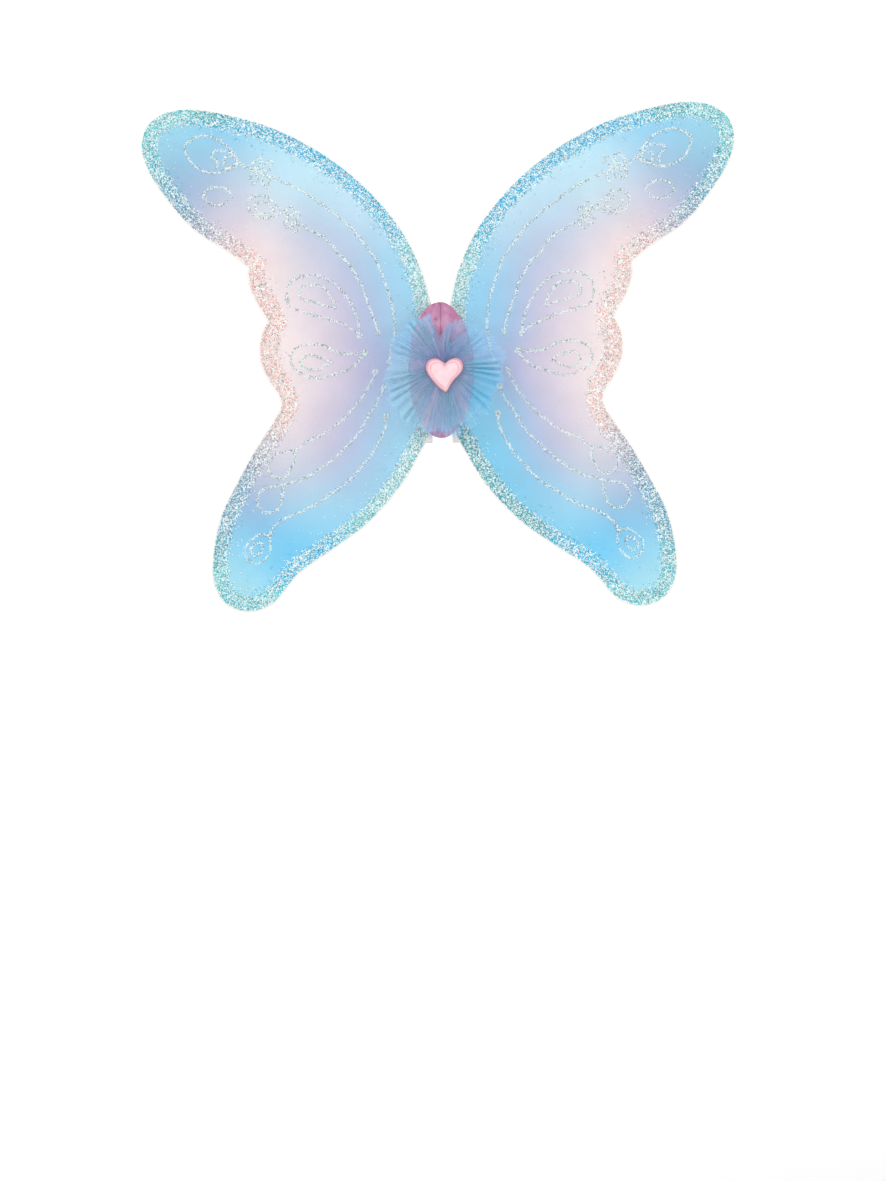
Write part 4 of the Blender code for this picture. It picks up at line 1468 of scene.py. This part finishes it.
def settle(piece: bpy.types.Object) -> None:
    """Apply every modifier of a piece."""
    bpy.context.view_layer.update()
    shown = piece.evaluated_get(bpy.context.evaluated_depsgraph_get())
    mesh = bpy.data.meshes.new_from_object(shown)
    piece.modifiers.clear()
    old, piece.data = piece.data, mesh
    bpy.data.meshes.remove(old)


def corners_of(piece: bpy.types.Object) -> np.ndarray:
    """A piece's points as an array."""
    points = np.zeros(len(piece.data.vertices) * 3, np.float32)
    piece.data.vertices.foreach_get("co", points)
    return points.reshape(-1, 3).astype(float)


@dataclass
class BackPad:
    """The felt cover against the wearer and what is sewn between it and the cushion."""

    corner: float = 12.0 * MM
    edge_round: float = 0.6 * MM
    stitch_step: float = 4.6 * MM
    ribbon_thick: float = 0.7 * MM

    def outline(self, half_width: float, half_height: float, corner: float, steps: int = 9) -> list[Vector]:
        """A rounded rectangle in X and Z."""
        points = []
        for quarter, (sx, sz) in enumerate(((1, 1), (-1, 1), (-1, -1), (1, -1))):
            for i in range(steps + 1):
                turn = (quarter + i / steps) * math.pi / 2
                points.append(Vector((sx * (half_width - corner) + math.cos(turn) * corner, 0.0,
                                      sz * (half_height - corner) + math.sin(turn) * corner)))
        return evenly([*points, points[0]], 2.0 * MM)[:-1]

    def felt(self, finishes: Finishes) -> None:
        """The felt cover with its blanket stitch."""
        low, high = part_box("back_cover")
        half_width, half_height, thick = high[0], high[2], high[1] - low[1]
        points = []
        # Round the edge from the wearer's face: the inset and the share of the thickness.
        steps = ((1.0, 0.0), (0.35, 0.0), (0.0, 0.3), (0.0, 0.7), (0.35, 1.0), (1.0, 1.0))
        for inset, share in steps:
            shrink = inset * self.edge_round * 2
            ring = self.outline(half_width, half_height, self.corner)
            for p in ring:
                points.append(Vector((p.x * (1 - shrink / half_width), high[1] - share * thick,
                                      p.z * (1 - shrink / half_height))))
        cover = stack("back_felt_cover", points, len(ring), [finishes.back_felt])
        crease(cover, 50)
        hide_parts("back_cover")
        threads = []
        start = Vector((half_width, 0, half_height - self.corner))
        ring = evenly([*self.outline(half_width, half_height, self.corner), start], self.stitch_step)
        for a, b in zip(ring, ring[1:]):
            along = (b - a).normalized()
            inward = Vector((-along.z, 0, along.x))
            face = high[1] + 0.02 * MM
            rim = Vector((a.x, face, a.z)) + inward * (0.5 * MM)
            threads.append((rim, rim + inward * (2.6 * MM), Vector((0, 1, 0))))
            threads.append((rim, Vector((b.x, face, b.z)) + inward * (0.5 * MM), Vector((0, 1, 0))))
        stitch = stitches("back_blanket_stitch", threads, 0.22 * MM, 0.1 * MM, finishes.lilac_thread)
        for part, slot in ((cover, "back_felt"), (stitch, "thread")):
            hand_over(part)

    def foam(self, finishes: Finishes) -> None:
        """The foam strip between the two root wires, with softly rounded edges."""
        low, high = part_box("centre_core")
        bm = bmesh.new()
        bmesh.ops.create_cube(bm, size=1)
        for vertex in bm.verts:
            vertex.co = [(a + b) / 2 + c * (b - a) for a, b, c in zip(low, high, vertex.co)]
        bmesh.ops.bevel(bm, geom=bm.edges[:], offset=1.4 * MM, segments=4, profile=0.6, affect="EDGES")
        mesh = bpy.data.meshes.new("foam_core")
        bm.to_mesh(mesh)
        bm.free()
        mesh.materials.append(finishes.foam)
        mesh.shade_smooth()
        core = bpy.data.objects.new("foam_core", mesh)
        bpy.context.scene.collection.objects.link(core)
        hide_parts("centre_core")
        hand_over(core)

    def ribbons(self, finishes: Finishes) -> None:
        """The ribbon loops that the root wires turn in."""
        for side, word in ((-1, "left"), (1, "right")):
            hinge = next(joint for joint in frame["joints"] if joint["name"] == f"{word}_wing_flap")["pos_m"]
            for label in ("upper", "lower"):
                node = f"{word}_root_tab_{label}"
                low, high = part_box(node)
                # The ribbon's line in millimetres from the root wire, out and back round it.
                path = [Vector((-3.1, -2.05)), Vector((-1.2, -2.05))]
                path += [Vector((math.sin(t), -math.cos(t))) * 2.0 for t in np.linspace(0, 1.5 * math.pi, 16)]
                path += [Vector((-2.25, -0.9)), Vector((-3.1, -1.32))]
                line = [Vector((side * (abs(hinge[0]) + p.x * MM), hinge[1] + p.y * MM, (low[2] + high[2]) / 2))
                        for p in evenly(path, 0.4)]
                half = (high[2] - low[2]) / 2
                ring = [(-half, -0.5), (half, -0.5), (half, 0.5), (-half, 0.5)]
                ring = [(a, b * self.ribbon_thick) for a, b in ring]
                loop = sweep(f"{word}_root_ribbon_{label}", line, ring, Vector((0, 0, 1)), finishes.ribbon)
                crease(loop, 35)
                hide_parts(node)
                hand_over(loop)

    def make(self, finishes: Finishes) -> None:
        """Build all of the back pad."""
        self.foam(finishes)
        self.felt(finishes)
        self.ribbons(finishes)


class NetDye(Enum):
    """The blues of the net."""

    DEEP = (124, 164, 230)
    BRIGHT = (150, 204, 252)
    CYAN = (96, 200, 246)
    SOFT = (152, 208, 252)
    PALE = (164, 214, 250)


@dataclass
class Rosette:
    """Two gathered layers of net behind the heart."""

    strip: float = 66.0 * MM  # the width of the strip that each layer is gathered from
    eye: float = 2.6 * MM
    around: int = 1440
    rows: int = 26
    spot_reach: float = 9.0
    # Where each blue was brushed on, in millimetres from the middle.
    spots: tuple = (
        (0, 2, NetDye.DEEP), (16, -8, NetDye.BRIGHT), (-16, -4, NetDye.BRIGHT), (0, 20, NetDye.BRIGHT),
        (2, -22, NetDye.BRIGHT), (40, -30, NetDye.CYAN), (34, -12, NetDye.CYAN), (45, 20, NetDye.BRIGHT),
        (20, 40, NetDye.SOFT), (-22, 34, NetDye.SOFT), (-42, 34, NetDye.SOFT), (-50, 0, NetDye.PALE),
        (-50, -34, NetDye.PALE), (-30, -56, NetDye.PALE), (0, -60, NetDye.SOFT), (0, -40, NetDye.SOFT),
        (30, -58, NetDye.SOFT), (60, 8, NetDye.SOFT),
    )
    # The thread: how often it goes round, how many points that takes, and how far its turns lie apart.
    winds: int = 3
    wind_steps: int = 260
    wind_lay: float = 0.42 * MM
    # The corners of the cut edge: the way they point in degrees, and how far out they are in millimetres.
    corners: tuple = (
        (0, 59), (4, 61), (12, 64), (20, 58), (28, 58), (37, 53), (46, 52), (60, 49), (75, 48), (84, 36),
        (92, 26), (98, 24), (101, 34), (104, 53), (114, 52), (126, 57), (137, 53), (150, 59), (162, 55),
        (176, 53), (192, 54), (204, 58), (214, 63), (224, 63), (237, 69), (247, 66), (259, 71), (268, 68),
        (281, 71), (288, 65), (295, 69), (304, 62), (314, 65), (326, 58), (338, 57), (350, 56), (360, 59),
    )

    def __post_init__(self) -> None:
        """Take the rosette's place from the frame."""
        low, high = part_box("tulle_rosette_lower")
        self.x, self.z, self.base = (low[0] + high[0]) / 2, (low[2] + high[2]) / 2, high[1]
        self.upper_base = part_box("tulle_rosette_upper")[1][1]

    def reach(self, angle: float, share: float, turn: float) -> float:
        """How far out the cut edge is.

        Args:
            angle: The way it points, in degrees.
            share: The layer's size.
            turn: How far the layer's corners are turned, in degrees.

        Returns:
            The distance in metres.
        """
        ways, far = zip(*self.corners)
        corner = float(np.interp((angle + turn) % 360, ways, far))
        gap = float(np.interp(angle % 360, ways, far))
        return min(corner * share, gap + 6 if 80 < angle % 360 < 103 else 1e9) * MM

    def layer(self, name: str, base: float, share: float, turn: float, pleats: int, flare: float,
              finish: object) -> bpy.types.Object:
        """Gather one layer, with painted highlight and shade on its folds.

        Args:
            name: The piece's name.
            base: Where its middle lies.
            share: Its size.
            turn: How far its corners are turned, in degrees.
            pleats: How many folds it has.
            flare: How far its edge stands out.
            finish: The net.

        Returns:
            The piece.
        """
        points, cover, flat, crest_light = [], [], [], []
        for i in range(self.rows + 1):
            out = i / self.rows
            for k in range(self.around):
                u = 2 * math.pi * k / self.around
                phase = (pleats * u + 2.4 * math.sin(2 * u + turn) + 1.9 * math.sin(5 * u + 1.7 * turn)
                         + 1.2 * math.sin(9 * u + 0.4) + 0.5 * math.sin(17 * u + turn))
                calm = 0.68 + 0.32 * math.sin(4 * u + turn * 0.9 + 0.6) * math.sin(7 * u + 2.0)
                swing = (1.75 - 0.85 * out) * calm / pleats
                angle = u + swing * math.sin(phase) + 0.03 * math.sin(3 * phase + 2 * out)
                far = self.eye + (self.reach(math.degrees(angle), share, turn) - self.eye) * out
                far *= 1 + 0.025 * math.sin(phase * 2 + 0.5) * out
                lean = (0.30 + 1.7 * out) * MM * calm
                crimp = 0.5 * MM * math.sin(2.7 * phase + 4 * out) * out
                y = base - 0.9 * MM - flare * out**2 - lean * math.cos(phase) - crimp
                x, z = far * math.cos(angle), far * math.sin(angle)
                points.append(Vector((self.x + x, y, self.z + z)))
                cover.append(0.86 + 0.34 * out)
                flat.append((x / MM, z / MM))
                # Painted highlight and shade: fold crests that lean forward are lighter and the valleys darker,
                # the other way round near the middle, over an all-round lift of a tenth.
                crest_light.append(1.1 + (0.2 - 0.26 * math.exp(-far / (12 * MM))) * math.cos(phase) * calm)
        piece = build(name, points, ring_faces(self.rows + 1, self.around, capped=False), [finish])
        color = dyed(np.array(flat), self.spots, self.spot_reach, 1.0)
        color[:, :3] *= np.array(crest_light)[:, None]
        # The painted dye attribute carries the net's blues together with the painted highlight and shade of the
        # folds.
        paint(piece, "dye", np.clip(color, 0, 1))
        paint(piece, "cover", np.array(cover))
        return piece

    def make(self, finishes: Finishes) -> None:
        """Gather both layers and bind them with thread.

        Args:
            finishes: The materials.
        """
        lower = self.layer("rosette_net_lower", self.base, 1.0, 0.0, 34, 5.4 * MM, finishes.net)
        upper = self.layer("rosette_net_upper", self.upper_base, 0.96, 23.0, 43, 7.0 * MM, finishes.net)
        for piece, node in ((lower, "tulle_rosette_lower"), (upper, "tulle_rosette_upper")):
            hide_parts(node)
            hand_over(piece)
        low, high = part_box("gather_thread")
        y, wide = (low[1] + high[1]) / 2, (high[0] - low[0]) / 2 - 0.8 * MM
        path = []
        for k in range(self.wind_steps):
            t = 2 * math.pi * self.winds * k / self.wind_steps
            far = wide + self.wind_lay * math.cos(t * 7 / 3)
            level = y + self.wind_lay * math.sin(t * 7 / 3)
            path.append(Vector((self.x + far * math.cos(t), level, self.z + far * math.sin(t))))
        wound = sweep("gather_winding", path, oval(0.3 * MM, 0.3 * MM, 6), Vector((0, 1, 0)),
                      finishes.cream_thread, closed=True)
        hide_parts("gather_thread")
        hand_over(wound)


@dataclass
class Heart:
    """The satin heart on its felt backing."""

    crown: float = 0.9 * MM
    stitch_step: float = 1.0 * MM
    running_share: float = 0.83
    running_step: float = 1.9 * MM
    running_length: float = 0.66
    # Pairs of (size, share of the thickness) from the back round to the front.
    round_edge: tuple = ((0.2, 0.0), (0.95, 0.0), (0.985, 0.15), (1.0, 0.5), (0.985, 0.85), (0.96, 1.0),
                         (0.9, 1.0), (0.2, 1.0))
    domed: tuple = ((0.2, 0.0), (0.96, 0.0), (0.99, 0.2), (1.0, 0.5), (0.985, 0.8), (0.95, 0.97), (0.9, 1.0),
                    (0.78, 1.0), (0.6, 1.0), (0.4, 1.0), (0.2, 1.0), (0.08, 1.0))
    # Each half of the outline in millimetres, from the notch to the tip.
    right_half: tuple = ((0.2, 10.7), (3.0, 13.9), (7.4, 16.4), (12.8, 16.9), (17.0, 14.2), (18.7, 9.6),
                         (17.6, 4.6),
                         (14.1, 0.2), (10.0, -3.8), (6.8, -7.8), (4.4, -11.8), (2.4, -15.2), (0.5, -16.9))
    left_half: tuple = ((0.2, 10.7), (-2.6, 13.9), (-6.6, 16.4), (-11.2, 16.9), (-15.8, 15.0), (-18.4, 11.0),
                        (-18.7, 6.4), (-16.8, 1.6), (-13.6, -3.2), (-9.8, -7.8), (-5.4, -12.4), (0.5, -16.9))

    def outline(self, width: float, height: float) -> list[Vector]:
        """A heart in X and Z, centred on its box."""
        right, left = (evenly(smooth_run([Vector(p) for p in half], 8), 1.0)
                       for half in (self.right_half, self.left_half))
        points = right[:-1] + left[:0:-1]
        low, high = Vector(map(min, zip(*points))), Vector(map(max, zip(*points)))
        middle, size = (low + high) / 2, high - low
        return [Vector(((p.x - middle.x) * width / size.x, 0, (p.y - middle.y) * height / size.y))
                for p in points]

    def slab(self, name: str, node: str, profile: tuple, crown: float, finish: object) -> bpy.types.Object:
        """A soft heart that fills a node's box.

        Args:
            name: The piece's name.
            node: The CAD node it stands for.
            profile: Pairs of (size, share of the thickness) from the back round to the front.
            crown: How far its middle stands out in front.
            finish: The material.

        Returns:
            The piece.
        """
        low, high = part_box(node)
        middle = Vector(((low[0] + high[0]) / 2, 0, (low[2] + high[2]) / 2))
        ring = self.outline(high[0] - low[0], high[2] - low[2])
        points = []
        for size, share in profile:
            rise = crown * (1 - size**2) if share >= 1 else 0.0
            points += [middle + Vector((p.x * size, high[1] - share * (high[1] - low[1]) - rise, p.z * size))
                       for p in ring]
        piece = stack(name, points, len(ring), [finish])
        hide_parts(node)
        return piece

    def make(self, finishes: Finishes) -> None:
        """Build the backing, the patch and their stitches.

        Args:
            finishes: The materials.
        """
        backing = self.slab("heart_felt_backing", "heart_backing", self.round_edge, 0.0, finishes.heart_felt)
        patch = self.slab("heart_satin_patch", "heart_patch", self.domed, self.crown, finishes.satin)
        low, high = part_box("heart_patch")
        middle = Vector(((low[0] + high[0]) / 2, 0, (low[2] + high[2]) / 2))
        wide, tall = high[0] - low[0], high[2] - low[2]
        outer = evenly([*self.outline(wide, tall), self.outline(wide, tall)[0]], self.stitch_step)[:-1]
        front = low[1]
        bind = []
        for p in outer:
            away = Vector((p.x, 0, p.z)).normalized()
            inner = middle + Vector((p.x, front - 0.12 * MM, p.z)) - away * (1.1 * MM)
            edge = middle + Vector((p.x, front + 1.5 * MM, p.z)) + away * (1.1 * MM)
            bind.append((inner, edge, (Vector((0, -1, 0)) + away * 0.8).normalized()))
        border = stitches("heart_border_stitch", bind, 0.40 * MM, 0.4 * MM, finishes.blush_thread)
        share = self.running_share
        line = [Vector((p.x * share, 0, p.z * share)) for p in self.outline(wide, tall)]
        line = evenly(line, self.running_step)
        y = front - self.crown * (1 - share**2) - 0.02 * MM
        runs = []
        for a, b in zip(line, line[1:]):
            end = a.lerp(b, self.running_length)
            runs.append((*[middle + Vector((p.x, y, p.z)) for p in (a, end)], Vector((0, -1, 0))))
        running = stitches("heart_running_stitch", runs, 0.3 * MM, 0.2 * MM, finishes.rose_thread)
        for piece, slot in ((backing, "heart_felt"), (patch, "heart_satin"), (border, "thread"),
                            (running, "thread")):
            hand_over(piece)


@dataclass
class ArmLoops:
    """The two ribbed elastic arm loops, each one band sewn to the felt at both ends."""

    ribs: int = 6
    thick: float = 1.0 * MM
    rib: float = 0.16 * MM
    # Half of the band's line in millimetres: out from the felt, and up.
    line: tuple = ((0.95, 50.9), (0.95, 55.0), (1.0, 59.0), (1.35, 61.6), (2.9, 64.0), (6.7, 67.1),
                   (26.4, 70.6),
                   (60.3, 57.6), (87.5, 34.4))
    deepest: float = 96.0
    # The box of stitches at each end: half its width, and how far from the middle it starts and ends.
    tack_half: float = 3.6 * MM
    tack_low: float = 52.2 * MM
    tack_high: float = 58.4 * MM
    tack_step: float = 1.7 * MM

    def make(self, finishes: Finishes) -> None:
        """Build each loop and its box of stitches.

        Args:
            finishes: The materials.
        """
        knots = [Vector(p) * MM for p in self.line]
        lower = [Vector((p.x, -p.y)) for p in reversed(knots)]
        path = evenly(smooth_run([*knots, Vector((self.deepest * MM, 0)), *lower], 8), 1.2 * MM)
        for word in ("left", "right"):
            low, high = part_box(f"{word}_strap_tab_upper")
            x, half = (low[0] + high[0]) / 2, (high[0] - low[0]) / 2
            count = 4 * self.ribs
            tops = []
            for i in range(count + 1):
                rise = self.rib * math.sin(math.pi * self.ribs * i / count) ** 2
                worn = 0.18 * MM if i in (0, count) else 0
                tops.append((-half + 2 * half * i / count, self.thick / 2 + rise - worn))
            ring = tops + [(a, -b) for a, b in reversed(tops)]
            band = sweep(f"{word}_arm_loop", [Vector((x, p.x, p.y)) for p in path], ring, Vector((1, 0, 0)),
                         finishes.elastic)
            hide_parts(f"{word}_strap", f"{word}_strap_tab_upper", f"{word}_strap_tab_lower")
            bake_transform(band)
            threads = []
            face = self.line[0][0] * MM + self.thick / 2 + 0.1 * MM
            for up in (1, -1):
                left, right = x - self.tack_half, x + self.tack_half
                bottom, top = up * self.tack_low, up * self.tack_high
                marks = [(left, bottom), (right, bottom), (right, top), (left, top), (left, bottom),
                         (right, top),
                         (left, top), (right, bottom)]
                for (ax, az), (bx, bz) in zip(marks, marks[1:]):
                    row = evenly([Vector((ax, face, az)), Vector((bx, face, bz))], self.tack_step)
                    threads += [(a, a.lerp(b, 0.8), Vector((0, 1, 0))) for a, b in zip(row, row[1:])]
            tack = stitches(f"{word}_loop_stitches", threads, 0.2 * MM, 0.16 * MM, finishes.lilac_thread)
            hand_over(tack)
            LOG.info("%s: %d faces", band.name, len(band.data.polygons))


# ------------------------------------------------------------------ finishes together, studio

class Finishes:
    """Every material, made once."""

    def __init__(self) -> None:
        """Mix them all."""
        self.glitter = [tone.value.make() for tone in Tone]
        self.organza = DyedOrganza().make()
        self.binding = WovenTape("binding_tape", (252, 249, 243), (238, 230, 220)).make()
        self.velvet = CrushedVelvet().make()
        self.net = Net("sky_net").make()
        self.back_felt = Felt("lilac_felt", (196, 178, 214), (166, 146, 190)).make()
        self.heart_felt = Felt("pink_felt", (250, 182, 196), (236, 148, 168)).make()
        self.satin = Satin().make()
        self.cream_thread = SewingThread("cream_thread", (244, 238, 228)).make()
        self.lilac_thread = SewingThread("lilac_thread", (160, 138, 190)).make()
        self.mauve_thread = SewingThread("mauve_thread", (138, 70, 118)).make()
        self.rose_thread = SewingThread("rose_thread", (206, 62, 106)).make()
        self.blush_thread = SewingThread("blush_thread", (251, 196, 204)).make()
        self.elastic = WovenTape("ribbed_elastic", (246, 246, 244), (214, 214, 214), 0.7 * MM).make()
        self.ribbon = WovenTape("grosgrain_ribbon", (232, 232, 240), (200, 200, 214), 0.9 * MM).make()
        self.foam = HardStuff("cut_foam", (234, 232, 220), 0.9, 0.0, 1800, 0.3 * MM).make()
        self.board = HardStuff("board_sheet", (240, 240, 238), 0.45, 0.0, 400, 0.05 * MM).make()
        self.steel = HardStuff("drawn_steel", (196, 198, 204), 0.3, 1.0, 900, 0.02 * MM).make()
        self.sleeve = HardStuff("crimped_sleeve", (214, 208, 196), 0.34, 1.0, 500, 0.05 * MM).make()

    def dress(self) -> None:
        """Give the CAD pieces that stay their finishes."""
        for node, finish in (("left_wing_wire", self.steel), ("right_wing_wire", self.steel),
                             ("left_wire_joiner", self.sleeve), ("right_wire_joiner", self.sleeve),
                             ("spine_board", self.board)):
            piece = frame["nodes"][node]
            for slot in piece.material_slots:
                slot.material = finish


@dataclass
class Studio:
    """A pale floor that curves up behind, soft lamps and the camera."""

    distance: float = 4.0
    lens: float = 121.93
    roll: float = math.radians(0.9)
    camera_x: float = -1.95 * MM
    camera_z: float = -219.5 * MM
    floor_z: float = -0.92
    wall_y: float = 5.4
    bend: float = 1.6
    wide: float = 9.0
    air: float = 0.8
    # Each lamp's name, place, aim, side and power in watts.
    lamps: tuple = (
        ("key_lamp", (-1.6, -2.6, 1.9), (0, 0, 0), 1.6, 34),
        ("fill_lamp", (2.2, -2.4, 0.6), (0, 0, 0), 2.0, 16),
        ("wall_lamp", (0, 1.5, 3.0), (0, 5.4, 1.5), 3.0, 90),
    )

    def sweep_wall(self) -> None:
        """The floor and wall in one curved sheet."""
        bend, wide, front, top = self.bend, self.wide, -6.0, 6.0
        profile = [(front, self.floor_z), (self.wall_y - bend, self.floor_z)]
        for i in range(1, 25):
            turn = math.pi / 2 * i / 24
            back = self.wall_y - bend + bend * math.sin(turn)
            profile.append((back, self.floor_z + bend * (1 - math.cos(turn))))
        profile.append((self.wall_y, top))
        points = [Vector((x, y, z)) for y, z in profile for x in (-wide, wide)]
        faces = [(2 * i, 2 * i + 1, 2 * i + 3, 2 * i + 2) for i in range(len(profile) - 1)]
        recipe = Recipe("studio_paper")
        paper = recipe.finish(Base_Color=(0.93, 0.93, 0.93, 1.0), Roughness=0.9)
        wall = build("studio_sweep", points, faces, [paper])

    def lamp(self, name: str, place: tuple, aim: tuple, size: float, power: float) -> None:
        """One soft square lamp.

        Args:
            name: Its name.
            place: Where it stands.
            aim: What it points at.
            size: Its side.
            power: Its power in watts.
        """
        data = bpy.data.lights.new(name, "AREA")
        data.size, data.energy = size, power
        lamp = bpy.data.objects.new(name, data)
        lamp.location = place
        lamp.rotation_mode = "QUATERNION"
        lamp.rotation_quaternion = (Vector(aim) - Vector(place)).to_track_quat("-Z", "Y")
        bpy.context.scene.collection.objects.link(lamp)

    def make(self) -> None:
        """Set the stage."""
        scene = bpy.context.scene
        scene.view_settings.view_transform = "Standard"
        world = bpy.data.worlds.new("studio_air")
        world.use_nodes = True
        sockets = world.node_tree.nodes["Background"].inputs
        sockets["Color"].default_value = (1.0, 1.0, 1.0, 1.0)
        sockets["Strength"].default_value = self.air
        scene.world = world
        self.sweep_wall()
        for lamp in self.lamps:
            self.lamp(*lamp)
        data = bpy.data.cameras.new("camera")
        data.lens, data.sensor_width = self.lens, 36.0
        data.clip_start, data.clip_end = 0.1, 60.0
        camera = bpy.data.objects.new("camera", data)
        turn = Matrix.Rotation(self.roll, 4, "Y") @ Matrix.Rotation(math.pi / 2, 4, "X")
        camera.matrix_world = Matrix.Translation((self.camera_x, -self.distance, self.camera_z)) @ turn
        scene.collection.objects.link(camera)
        scene.camera = camera


def main() -> None:
    """Build the pieces in order."""
    Studio().make()
    finishes = Finishes()
    finishes.dress()
    Cushion().make(finishes)
    BackPad().make(finishes)
    Wings(finishes).make()
    ArmLoops().make(finishes)
    Rosette().make(finishes)
    Heart().make(finishes)


logging.basicConfig(level=logging.INFO, format="%(message)s")

if __name__ == "__main__":
    main()
